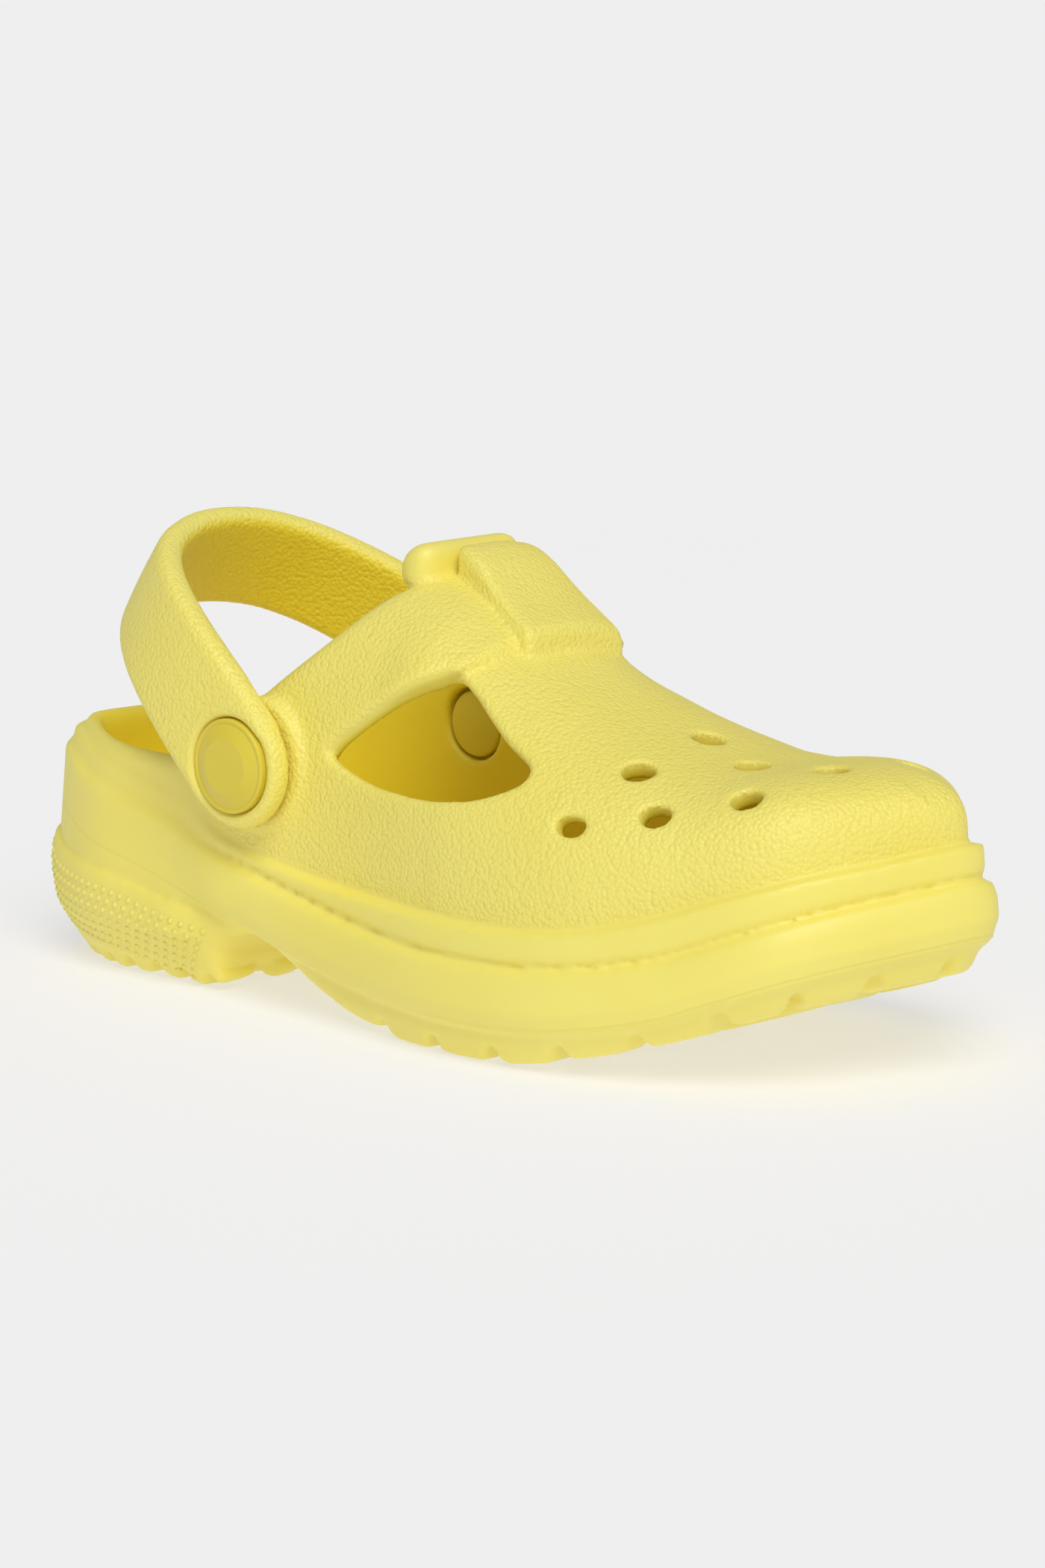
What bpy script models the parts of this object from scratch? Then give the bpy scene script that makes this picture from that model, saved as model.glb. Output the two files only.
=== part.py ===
"""Rubber garden clog, right foot: one foam shell, a swinging heel strap and two snap rivets.

Frame: metres, +X to the toe, +Y to the wearer's left, +Z up, ground at z = 0,
origin at the bottom centre of the bounding box.
"""
import bpy
import bmesh
import math
import numpy as np
from mathutils import Matrix, Vector

# ---------------------------------------------------------------- driving dimensions (mm)
MM = 0.001
LENGTH = 205.0                # overall length, heel to toe
GAP = 0.3                     # running clearance between separate pieces
WALL = 3.8                    # foam thickness of the upper

# widest outline of the sole seen from above, heel tip first, outer side, toe, inner side
OUTLINE = (
    (-102.3, -1), (-100.9, -19.8), (-81.9, -31.6), (-60, -33.5), (-35, -35.5), (-8, -39),
    (20, -44), (45, -44), (68, -38), (89.6, -27.8), (101.5, -8.2), (105.8, 10.1), (94.7, 24),
    (83.5, 38.1), (62.1, 45.6), (38, 44.5), (10, 39), (-18, 35.5), (-45, 34), (-68, 32.5),
    (-87, 26.5), (-99.5, 14),
)
STATIONS = 34                 # stations from heel tip to toe tip
RIM_SIDE = (-1, 1)            # outer side, inner side

# heights along the shoe: (x, z)
TREAD = ((-103, 1.5), (-90, 0), (-60, 0), (-20, 0), (20, 0), (37, 0.8), (49, 3.2), (59, 5.7),
         (69, 8.8), (76, 11.6), (84, 14.3), (91, 16.6), (96, 18), (103, 20.5))
GROOVE_LINE = ((-103, 41), (-96, 39.8), (-88.6, 37.8), (-82.7, 35.8), (-68, 32.6), (-53, 29),
               (-38, 25.6), (-24, 22.8), (-5, 19.8), (17, 18.3), (36, 18.4), (51, 19.8),
               (65, 22.8), (76, 26.9), (89, 31.8), (98, 34.7), (103, 36.2))
UPPER_LINE = ((-103, 44.4), (-96, 43.4), (-88.6, 41.8), (-82.7, 40.3), (-68, 37.2), (-53, 33),
              (-40, 29), (-28, 26.8), (-9, 24.8), (14, 24.2), (33, 24.2), (49, 25.7), (63, 29.2),
              (74, 33.2), (87, 37.6), (93, 39.3), (98, 41), (103, 42.2))
RIDGE = ((-103, 74), (-60, 77), (-25, 78.6), (-13, 78.4), (-7, 77.6), (-3, 76), (2, 73.2),
         (9, 69.4), (16, 66), (22, 63.4), (28, 61.1), (35, 58.5), (44, 55.7), (50.5, 54.1),
         (57, 52.8), (65, 52.2), (73, 52.7), (83, 53.3), (103, 53.6))
FOOTBED = ((-103, 25), (-90, 23), (-60, 21), (-30, 21), (0, 17.5), (40, 16.5), (60, 20),
           (80, 27), (103, 36))
UPPER_INSET = ((-103, 6.6), (-90, 6), (-62, 4.8), (-48, 3.5), (-36, 3.7), (-25, 4.6), (-8, 5.8),
               (10, 5.8), (25, 5.5), (103, 5.5))
SPINE_X = (-62.0, 66.0)       # ends of the line the dome closes on
SIDE_DROP = 7.7               # groove line down to the widest point of the side wall
HEEL_BLOCK = 25.0             # height of the heel block below its band
HEEL_BLEND = (-62.0, -46.0)   # x range over which the heel banding fades out
DOME_POWER = ((-103, 3.2), (-10, 2.9), (30, 2.6), (60, 2.9), (90, 3.6), (103, 3.6))
INNER_DOME_POWER = ((-103, 3.2), (-10, 2.9), (15, 2.1), (30, 1.95), (45, 1.95), (60, 2),
                    (90, 3.2), (103, 3.6))

# collar: the side view line the foot opening is cut along (x, z)
COLLAR = ((-112, 47.5), (-100, 46.5), (-86, 44), (-70, 42.5), (-56, 43.2), (-47, 47),
          (-38.5, 53), (-31, 59), (-21, 67.2), (-14, 74.5), (-11, 79), (-10, 92))

# side window on the outer side, points on the skin (x, y, z)
WINDOW = (
    (-15, -32.5, 49.6), (-12.4, -32.5, 52.4), (-6.9, -31.5, 55.8), (-0.3, -30, 59.6),
    (6.3, -27.5, 62.9), (9.6, -25.5, 64.4), (14.1, -26, 62.1), (19, -28, 59.3),
    (25.1, -30, 55.7), (31, -31, 52.6), (32.6, -31.8, 50.6), (31.6, -33, 48.6),
    (27.2, -34.2, 46.2), (21.4, -35, 44.6), (12.8, -35, 43.9), (4, -34.6, 44.7),
    (-5, -34, 46.3), (-12, -33, 48.2),
)
WINDOW_TILT = 40.0            # degrees the window axis is lifted from level
VENT_RADIUS = 3.0
# vent holes in the top of the forefoot, (x, y) on the skin
VENTS = ((48, -2.3), (49.2, -21.9), (62.3, -7.2), (77, -3.9), (73.1, -21.4), (58.8, -28.5),
         (44.5, -34.3), (49.5, 23), (64, 14), (79, 16), (73, 28.5), (59.5, 32), (45, 34))

# arch gap under the sole (x, z), cut straight across
ARCH = ((-47.5, -5), (-46.4, 8), (-44, 11.3), (-40, 12.8), (-36, 13.1), (-32, 11.9), (-28, 10.1),
        (-24, 8.3), (-20, 6.2), (-13, 3.2), (-6, 1.4), (2, 0.4), (8, -5))
TREAD_DEPTH = 3.0
TREAD_WIDTH = 2.6
TREAD_FORE = (10, 20, 30, 40, 50, 60, 70, 80)
TREAD_HEEL = (-91, -81.5, -72, -62.5, -54.5)

# hinge of the heel strap
HINGE_X = -34.5
HINGE_Z = 44.5
PAD_Y = 33.0                  # outer face of the flat pads on the shell
PAD_RADIUS = 12.6
SEAT_Y = 28.4                 # inner flat seat for the rivet backs
SEAT_RADIUS = 7.0
LUG_RADIUS = 11.5
LUG_THICK = 5.0
BORE_RADIUS = 2.9

# heel strap
STRAP_THICK = 5.0
STRAP_WIDTH = (23.3, 20.8)    # at the lug, at the back
STRAP_REACH = 43.4            # plan distance from the hinge to the back of the strap
STRAP_RISE = 30.6             # height of the back above the hinge
STRAP_SLOPE = 31.0            # degrees, climb at the lug
STRAP_LEAN = 32.0             # degrees, forward lean of the band at the back
STRAP_POWER = 2.13
STRAP_SAG = 4.6               # dip of the inner half, from its relaxed curve
STRAP_STEPS = 48
RECESS_RADIUS = 8.9
RECESS_DEPTH = 1.6

# rivets
HEAD_RADIUS = 8.6
HEAD_FLAT = 5.1
HEAD_PROUD = 1.3
STEM_RADIUS = 2.6
BACK_RADIUS = 6.3
BACK_THICK = 2.2
TIP_RADIUS = 1.6
SEGMENTS = 36

# keeper loop over the instep strap and the tab behind it, closed side views (x, z)
LOOP = ((15, 63.2), (15.2, 67), (13.6, 69.5), (11, 71.5), (7, 73.9), (2, 77.1), (-3, 80.1),
        (-8.5, 81.9), (-9.5, 79), (-8, 76), (-3, 73), (2, 70), (8, 66))
LOOP_WIDTH = (-11.5, 12.5)
TAB = ((-6, 80.4), (-9, 81), (-12.5, 81.3), (-15.3, 80.6), (-16.8, 78.8), (-16.4, 77.2),
       (-14.5, 76.6), (-11, 75.4), (-6.5, 74.6))
TAB_WIDTH = (-15.0, 12.0)


# ---------------------------------------------------------------- scene helpers
def clear_scene():
    for ob in list(bpy.data.objects):
        bpy.data.objects.remove(ob, do_unlink=True)


def material(name, colour, roughness):
    mat = bpy.data.materials.new(name)
    mat.use_nodes = True
    shader = mat.node_tree.nodes["Principled BSDF"]
    shader.inputs["Base Color"].default_value = (*colour, 1.0)
    shader.inputs["Roughness"].default_value = roughness
    return mat


def to_object(bm, name, pivot=(0.0, 0.0, 0.0)):
    """Turn a bmesh drawn in mm into an object whose origin is the pivot (mm)."""
    bmesh.ops.translate(bm, verts=bm.verts, vec=-Vector(pivot))
    bmesh.ops.scale(bm, verts=bm.verts, vec=Vector((MM, MM, MM)))
    bmesh.ops.remove_doubles(bm, verts=bm.verts, dist=1e-6)
    bmesh.ops.recalc_face_normals(bm, faces=bm.faces)
    mesh = bpy.data.meshes.new(name)
    bm.to_mesh(mesh)
    bm.free()
    ob = bpy.data.objects.new(name, mesh)
    ob.location = Vector(pivot) * MM
    bpy.context.collection.objects.link(ob)
    return ob


def boolean(target, cutter, operation):
    """Add an exact boolean to the target; the cutter stays as a hidden guide."""
    cutter.hide_render = True
    cutter.hide_set(True)
    cutter.display_type = "WIRE"
    mod = target.modifiers.new(cutter.name, "BOOLEAN")
    mod.operation = operation
    mod.solver = "EXACT"
    mod.object = cutter


def apply_modifiers(ob):
    """Bake the modifier stack and drop its guides, leaving one clean closed body."""
    guides = [mod.object for mod in ob.modifiers if mod.type == "BOOLEAN"]
    graph = bpy.context.evaluated_depsgraph_get()
    mesh = bpy.data.meshes.new_from_object(ob.evaluated_get(graph))
    ob.modifiers.clear()
    ob.data = mesh
    for guide in guides:
        bpy.data.objects.remove(guide, do_unlink=True)
    bm = bmesh.new()
    bm.from_mesh(mesh)
    bmesh.ops.remove_doubles(bm, verts=bm.verts, dist=2e-6)
    bmesh.ops.dissolve_degenerate(bm, edges=bm.edges, dist=1e-6)
    bmesh.ops.triangulate(bm, faces=bm.faces)
    bmesh.ops.recalc_face_normals(bm, faces=bm.faces)
    bm.to_mesh(mesh)
    bm.free()


def finish(ob, mat, angle=38.0):
    ob.data.materials.clear()
    ob.data.materials.append(mat)
    for poly in ob.data.polygons:
        poly.use_smooth = True
    ob.data.set_sharp_from_angle(angle=math.radians(angle))


# ---------------------------------------------------------------- curve helpers
def smooth_path(points, steps=8):
    """Catmull-Rom curve through open points, any dimension."""
    pts = np.array(points, float)
    ends = np.vstack([2 * pts[0] - pts[1], pts, 2 * pts[-1] - pts[-2]])
    out = []
    for i in range(1, len(ends) - 2):
        p0, p1, p2, p3 = ends[i - 1:i + 3]
        for t in np.linspace(0, 1, steps, endpoint=False):
            out.append(0.5 * (2 * p1 + (p2 - p0) * t + (2 * p0 - 5 * p1 + 4 * p2 - p3) * t ** 2
                              + (3 * p1 - p0 - 3 * p2 + p3) * t ** 3))
    out.append(pts[-1])
    return np.array(out)


def profile(points):
    """Height (or other value) as a smooth function of x, never below the ground."""
    pts = smooth_path(points)
    return lambda x: np.maximum(np.interp(x, pts[:, 0], pts[:, 1]), 0.0)


tread_z = profile(TREAD)
groove_z = profile(GROOVE_LINE)
upper_z = profile(UPPER_LINE)
ridge_z = profile(RIDGE)
footbed_z = profile(FOOTBED)
upper_inset = profile(UPPER_INSET)
dome_power = profile(DOME_POWER)
inner_dome_power = profile(INNER_DOME_POWER)


def heel_amount(x):
    lo, hi = HEEL_BLEND
    t = np.clip((hi - x) / (hi - lo), 0, 1)
    return t * t * (3 - 2 * t)


def plan_outline():
    """Outline points and outward normals, near and far branch paired station by station."""
    pts = np.array(OUTLINE, float)
    loop = np.vstack([pts, pts[:1]])
    ring = smooth_path(np.vstack([pts[-2:], loop, pts[1:3]]), 24)[48:-49]
    ring -= (ring.min(0) + ring.max(0)) / 2
    ring *= LENGTH / np.ptp(ring[:, 0])
    step = np.roll(ring, -1, 0) - np.roll(ring, 1, 0)
    normal = np.c_[step[:, 1], -step[:, 0]]
    normal /= np.linalg.norm(normal, axis=1)[:, None]
    if (ring * normal).sum() < 0:
        normal = -normal
    heel = int(np.argmin(ring[:, 0]))
    ring = np.roll(ring, -heel, 0)
    normal = np.roll(normal, -heel, 0)
    toe = int(np.argmax(ring[:, 0]))
    k = np.arange(STATIONS + 1)
    span = ring[toe, 0] - ring[0, 0]
    xs = ring[0, 0] + span * (1 - np.cos(math.pi * k / STATIONS)) / 2
    outer = np.c_[ring, normal][:toe + 1]
    inner = np.vstack([np.c_[ring, normal][toe:], np.c_[ring, normal][:1]])[::-1]
    sides = []
    for branch in (outer, inner):
        cols = [np.interp(xs, branch[:, 0], branch[:, j]) for j in range(1, 4)]
        sides.append(np.c_[xs, np.array(cols).T])
    near, far = sides
    loop = np.vstack([near, far[-2:0:-1]])
    loop[:, 2:] /= np.linalg.norm(loop[:, 2:], axis=1)[:, None]
    return loop


PLAN = plan_outline()
COUNT = len(PLAN)


def spine_y(x):
    """Middle of the outline, the line the dome closes on."""
    near = PLAN[:STATIONS + 1]
    far = np.vstack([PLAN[STATIONS:], PLAN[:1]])[::-1]
    mid = (np.interp(x, near[:, 0], near[:, 1]) + np.interp(x, far[:, 0], far[:, 1])) / 2
    return mid


def ring_at(inset, height):
    """Ring of points, each moved inward by inset(x) and set at height(x)."""
    x = PLAN[:, 0]
    d = inset(x) if callable(inset) else np.full(COUNT, float(inset))
    z = height(x) if callable(height) else np.full(COUNT, float(height))
    flat = PLAN[:, :2] - PLAN[:, 2:] * d[:, None]
    return np.c_[flat, z]


def dome_rings(base, top_drop, count, closing=0.07):
    """Rings that carry a base ring up and in to the spine on a superellipse."""
    x = PLAN[:, 0]
    spine = np.clip(base[:, 0], *SPINE_X)
    mid = np.c_[spine, spine_y(spine)]
    power = np.where(PLAN[:, 1] > spine_y(x), inner_dome_power(x), dome_power(x))
    rings = []
    last = math.acos(closing ** 1.4)
    for tau in np.linspace(0, last, count + 1)[1:]:
        c = np.cos(tau) ** (2 / power)
        s = np.sin(tau) ** (2 / power)
        flat = mid + (base[:, :2] - mid) * c[:, None]
        z = base[:, 2] + (ridge_z(flat[:, 0]) - top_drop - base[:, 2]) * s
        rings.append(np.c_[flat, z])
    return rings


def loft(rings):
    """Closed body through paired rings, both ends closed by strips across the pairs."""
    bm = bmesh.new()
    rows = [[bm.verts.new(p) for p in ring] for ring in rings]
    for low, high in zip(rows, rows[1:]):
        for i in range(COUNT):
            j = (i + 1) % COUNT
            bm.faces.new((low[i], low[j], high[j], high[i]))
    for row in (rows[0], rows[-1]):
        for i in range(STATIONS):
            a, b = row[i], row[i + 1]
            c, d = row[(COUNT - i - 1) % COUNT], row[(COUNT - i) % COUNT]
            quad = [v for k, v in enumerate((a, b, c, d)) if v not in (a, b, c, d)[:k]]
            bm.faces.new(quad)
    return bm


def prism(points, vector, name):
    """Solid from a flat polygon (3-D points, mm) extruded along a vector."""
    bm = bmesh.new()
    face = bm.faces.new([bm.verts.new(p) for p in points])
    made = bmesh.ops.extrude_face_region(bm, geom=[face])
    moved = [g for g in made["geom"] if isinstance(g, bmesh.types.BMVert)]
    bmesh.ops.translate(bm, verts=moved, vec=Vector(vector))
    return to_object(bm, name)


def rod(name, start, end, radius, segments=SEGMENTS):
    """Cylinder between two points (mm)."""
    a, b = Vector(start), Vector(end)
    bm = bmesh.new()
    bmesh.ops.create_cone(bm, cap_ends=True, segments=segments, radius1=radius,
                          radius2=radius, depth=(b - a).length)
    turn = (b - a).to_track_quat("Z", "Y").to_matrix().to_4x4()
    bmesh.ops.transform(bm, matrix=Matrix.Translation((a + b) / 2) @ turn, verts=bm.verts)
    return to_object(bm, name)


def lathe(name, outline, side, pivot):
    """Body turned about the hinge axis; outline is (radius, distance outward from y = 0)."""
    bm = bmesh.new()
    verts = [bm.verts.new((HINGE_X + r, side * y, HINGE_Z)) for r, y in outline]
    edges = [bm.edges.new(pair) for pair in zip(verts, verts[1:])]
    bmesh.ops.spin(bm, geom=verts + edges, cent=(HINGE_X, 0, HINGE_Z), axis=(0, 1, 0),
                   angle=2 * math.pi, steps=SEGMENTS, use_merge=True)
    return to_object(bm, name, pivot)


# ---------------------------------------------------------------- shell
def shell_blank():
    """Outer form: tread, heel chamfer, side wall, groove, welt and dome in one loft."""
    def mix(front, heel):
        def value(x):
            h = heel_amount(x)
            a = front(x) if callable(front) else front
            b = heel(x) if callable(heel) else heel
            return a * (1 - h) + b * h
        return value

    def bulge(x):
        return groove_z(x) - SIDE_DROP

    def edge(x):
        return np.maximum(bulge(x) - 4.7, tread_z(x) + 1.2)

    rings = [
        ring_at(mix(12, 14), tread_z),
        ring_at(mix(5, 7), tread_z),
        ring_at(mix(3.0, 0.9), mix(edge, lambda x: tread_z(x) + 11)),
        ring_at(mix(1.1, 0.1), mix(lambda x: edge(x) + 1.6, 14)),
        ring_at(0, mix(bulge, 18)),
        ring_at(0.5, mix(lambda x: groove_z(x) - 4, HEEL_BLOCK - 1)),
        ring_at(mix(2, 1), mix(lambda x: groove_z(x) - 0.7, HEEL_BLOCK - 0.2)),
        ring_at(mix(2.9, 3.1), mix(lambda x: groove_z(x) - 0.4, HEEL_BLOCK + 0.3)),
        ring_at(mix(3.1, 2.6), mix(lambda x: groove_z(x) - 0.1, HEEL_BLOCK + 0.9)),
        ring_at(mix(3.1, 2.8), mix(groove_z, lambda x: groove_z(x) - 0.8)),
        ring_at(mix(3.1, 4.6), lambda x: groove_z(x) + 0.2),
        ring_at(mix(2.5, 4.4), lambda x: groove_z(x) + 0.8),
        ring_at(mix(2.8, 4.6), lambda x: np.maximum(upper_z(x) - 0.6, groove_z(x) + 1.2)),
    ]
    base = ring_at(upper_inset, upper_z)
    rings.append(base)
    rings += dome_rings(base, 0.0, 10)
    return to_object(loft(rings), "clog_shell")


def shell_cavity():
    """Foot space: rounded footbed rising into the inside of the dome."""
    def wall(x):
        return upper_inset(x) + WALL

    base = ring_at(wall, lambda x: np.maximum(upper_z(x), footbed_z(x) + 5))
    rings = [
        ring_at(lambda x: wall(x) + 6.5, lambda x: footbed_z(x) - 0.4),
        ring_at(lambda x: wall(x) + 3.5, footbed_z),
        ring_at(lambda x: wall(x) + 0.8, lambda x: footbed_z(x) + 2.2),
        base,
    ]
    rings += dome_rings(base, WALL, 8)
    return to_object(loft(rings), "cavity_guide")


def collar_guide():
    """Everything above the collar line behind the instep strap."""
    line = smooth_path(COLLAR, 4)
    pts = [(x, -70.0, z) for x, z in line] + [(-112.0, -70.0, 92.0)]
    return prism(pts, (0, 140, 0), "collar_guide")


def window_guide(side):
    """Side window cutter, its axis lifted with the slope of the skin."""
    lift = math.radians(WINDOW_TILT)
    out = np.array((0.0, -math.cos(lift), math.sin(lift)))
    pts = smooth_path(WINDOW + WINDOW[:1], 3)[:-1]
    flat = pts - np.outer((pts - pts.mean(0)) @ out, out)
    centre = spine_y(8.0)
    solid = [Vector(p - out * 12) for p in flat]
    reach = Vector(out * 27)
    if side > 0:
        solid = [Vector((p.x, 2 * centre - p.y, p.z)) for p in solid]
        reach.y = -reach.y
    return prism(solid, reach, "window_guide")


def dome_height(x, y):
    """Height of the skin of the forefoot above plan point (x, y)."""
    near = PLAN[:STATIONS + 1]
    far = np.vstack([PLAN[STATIONS:], PLAN[:1]])[::-1]
    inset = float(upper_inset(x))
    lo = float(np.interp(x, near[:, 0], near[:, 1])) + inset * 1.05
    hi = float(np.interp(x, far[:, 0], far[:, 1])) - inset * 1.05
    mid = float(spine_y(x))
    half = (mid - lo) if y < mid else (hi - mid)
    t = min(abs(y - mid) / half, 0.999)
    p = float(dome_power(x) if y < mid else inner_dome_power(x))
    foot = float(upper_z(x))
    return foot + (float(ridge_z(x)) - foot) * (1 - t ** p) ** (1 / p)


def vent_guide(x, y, index):
    """Rod square to the skin above (x, y), flattened up the slope where the skin is steep."""
    z = dome_height(x, y)
    slope = Vector((dome_height(x - 0.5, y) - dome_height(x + 0.5, y),
                    dome_height(x, y - 0.5) - dome_height(x, y + 0.5), 1.0)).normalized()
    level = Vector((-slope.y, slope.x, 0)).normalized()
    turn = Matrix((level, slope.cross(level), slope)).transposed().to_4x4()
    guide = rod(f"vent_guide_{index}", (0, 0, -8), (0, 0, 8), VENT_RADIUS, 20)
    flatten = Matrix.Diagonal((1, 0.5 + 0.5 * slope.z ** 2, 1, 1))
    guide.data.transform(Matrix.Translation(Vector((x, y, z)) * MM) @ turn @ flatten)
    return guide


def tread_guide(x, index):
    """Cross groove between tread lugs, square to the local slope of the sole."""
    slope = float(tread_z(x + 1) - tread_z(x - 1)) / 2
    bm = bmesh.new()
    bmesh.ops.create_cube(bm, size=1.0)
    bmesh.ops.scale(bm, verts=bm.verts, vec=Vector((TREAD_WIDTH, 120, 2 * TREAD_DEPTH)))
    bmesh.ops.rotate(bm, verts=bm.verts, cent=(0, 0, 0),
                     matrix=Matrix.Rotation(-math.atan(slope), 3, "Y"))
    bmesh.ops.translate(bm, verts=bm.verts, vec=Vector((x, 0, float(tread_z(x)))))
    return to_object(bm, f"tread_guide_{index}")


def band_guide(side_view, width, name):
    """Band with a closed side view (x, z), spread across y."""
    pts = [(x, width[0], z) for x, z in side_view]
    return prism(pts, (0, width[1] - width[0], 0), name)


def build_shell():
    shell = shell_blank()
    for side in RIM_SIDE:
        pad = rod("pad_guide", (HINGE_X, side * (PAD_Y - 4.4), HINGE_Z),
                  (HINGE_X, side * PAD_Y, HINGE_Z), PAD_RADIUS)
        boolean(shell, pad, "UNION")
        relief = rod("relief_guide", (HINGE_X, side * PAD_Y, HINGE_Z),
                     (HINGE_X, side * (PAD_Y + 8), HINGE_Z), PAD_RADIUS + 0.6)
        boolean(shell, relief, "DIFFERENCE")
    boolean(shell, shell_cavity(), "DIFFERENCE")
    boolean(shell, collar_guide(), "DIFFERENCE")
    boolean(shell, band_guide(LOOP, LOOP_WIDTH, "loop_guide"), "UNION")
    boolean(shell, band_guide(TAB, TAB_WIDTH, "tab_guide"), "UNION")
    for side in RIM_SIDE:
        boolean(shell, window_guide(side), "DIFFERENCE")
        seat = rod("seat_guide", (HINGE_X, side * (SEAT_Y - 8), HINGE_Z),
                   (HINGE_X, side * SEAT_Y, HINGE_Z), SEAT_RADIUS)
        boolean(shell, seat, "DIFFERENCE")
        bore = rod("bore_guide", (HINGE_X, side * 20, HINGE_Z),
                   (HINGE_X, side * 45, HINGE_Z), BORE_RADIUS)
        boolean(shell, bore, "DIFFERENCE")
    arch = prism([(x, -70.0, z) for x, z in ARCH], (0, 140, 0), "arch_guide")
    boolean(shell, arch, "DIFFERENCE")
    for index, x in enumerate(TREAD_FORE + TREAD_HEEL):
        boolean(shell, tread_guide(x, index), "DIFFERENCE")
    for index, (x, y) in enumerate(VENTS):
        boolean(shell, vent_guide(x, y, index), "DIFFERENCE")
    apply_modifiers(shell)
    finish(shell, material("foam_shell", (0.86, 0.72, 0.20), 0.62))
    return shell


# ---------------------------------------------------------------- heel strap
def strap_frames():
    """Centre line, outward normal and width direction of the strap, in mm."""
    lug_y = PAD_Y + GAP + LUG_THICK / 2
    t = np.linspace(0, math.pi, 401)
    run = LUG_RADIUS * 0.45
    x = -run - (STRAP_REACH - run) * np.sin(t) ** (2 / STRAP_POWER)
    y = -lug_y * np.sign(np.cos(t)) * np.abs(np.cos(t)) ** (2 / STRAP_POWER)
    x = np.concatenate([[0.0], x, [0.0]])
    y = np.concatenate([[-lug_y], y, [lug_y]])
    plan = np.c_[x, y]
    arc = np.r_[0, np.cumsum(np.linalg.norm(np.diff(plan, axis=0), axis=1))]
    even = np.linspace(0, arc[-1], STRAP_STEPS + 1)
    plan = np.c_[np.interp(even, arc, plan[:, 0]), np.interp(even, arc, plan[:, 1])]
    tangent = np.gradient(plan, axis=0)
    tangent[0] = (-1, 0)
    tangent[-1] = (1, 0)
    tangent /= np.linalg.norm(tangent, axis=1)[:, None]
    normal = np.c_[tangent[:, 1], -tangent[:, 0]]
    if normal[len(normal) // 2, 0] > 0:
        normal = -normal
    u = 1 - np.abs(2 * even / even[-1] - 1)
    half = STRAP_STEPS // 2
    slope = math.radians(STRAP_SLOPE) * (1 - u) ** 1.25
    climb = np.tan(slope)
    height = np.concatenate([[0.0], np.cumsum((climb[1:] + climb[:-1]) / 2 * np.diff(even))])
    height[half:] = height[:half + 1][::-1]
    height *= STRAP_RISE / height.max()
    inner = np.clip((2 * even / even[-1] - 0.65) / 1.35, 0, 1)
    height -= STRAP_SAG * np.sin(math.pi * inner ** 1.85) ** 2
    lift = np.gradient(height, even)
    lift[0] = lift[1]
    lift[-1] = lift[-2]
    along = np.c_[tangent, lift]
    along /= np.linalg.norm(along, axis=1)[:, None]
    out = np.c_[normal, np.zeros(len(normal))]
    wide = np.cross(along, out)
    wide[wide[:, 2] < 0] *= -1
    lean = math.radians(STRAP_LEAN) * np.clip(u * 1.3, 0, 1)[:, None]
    wide = wide * np.cos(lean) - out * np.sin(lean)
    out = np.cross(wide, along)
    out[(out * np.c_[normal, np.zeros(len(normal))]).sum(1) < 0] *= -1
    width = STRAP_WIDTH[0] + (STRAP_WIDTH[1] - STRAP_WIDTH[0]) * np.clip(u * 1.6, 0, 1)
    centre = np.c_[HINGE_X + plan[:, 0], plan[:, 1], HINGE_Z + height]
    return centre, out, wide, width


def build_strap():
    centre, out, wide, width = strap_frames()
    corner = 1.4
    bm = bmesh.new()
    rows = []
    for c, n, w, size in zip(centre, out, wide, width):
        a, b = size / 2, STRAP_THICK / 2
        shape = ((a - corner, b), (a, b - corner), (a, corner - b), (a - corner, -b),
                 (corner - a, -b), (-a, corner - b), (-a, b - corner), (corner - a, b))
        rows.append([bm.verts.new(c + w * p + n * q) for p, q in shape])
    for low, high in zip(rows, rows[1:]):
        for i in range(8):
            j = (i + 1) % 8
            bm.faces.new((low[i], low[j], high[j], high[i]))
    bm.faces.new(rows[0])
    bm.faces.new(rows[-1])
    pivot = (HINGE_X, 0.0, HINGE_Z)
    strap = to_object(bm, "heel_strap", pivot)
    inner = PAD_Y + GAP
    for side in RIM_SIDE:
        lug = rod("lug_guide", (HINGE_X, side * inner, HINGE_Z),
                  (HINGE_X, side * (inner + LUG_THICK), HINGE_Z), LUG_RADIUS)
        boolean(strap, lug, "UNION")
    for side in RIM_SIDE:
        trim = rod("trim_guide", (HINGE_X, side * (inner - 8), HINGE_Z),
                   (HINGE_X, side * inner, HINGE_Z), PAD_RADIUS + 1.5)
        boolean(strap, trim, "DIFFERENCE")
        recess = rod("recess_guide", (HINGE_X, side * (inner + LUG_THICK - RECESS_DEPTH), HINGE_Z),
                     (HINGE_X, side * (inner + LUG_THICK + 5), HINGE_Z), RECESS_RADIUS)
        boolean(strap, recess, "DIFFERENCE")
        bore = rod("bore_guide", (HINGE_X, side * 25, HINGE_Z),
                   (HINGE_X, side * 50, HINGE_Z), BORE_RADIUS)
        boolean(strap, bore, "DIFFERENCE")
    apply_modifiers(strap)
    finish(strap, material("foam_strap", (0.87, 0.73, 0.21), 0.6))
    return strap


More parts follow.
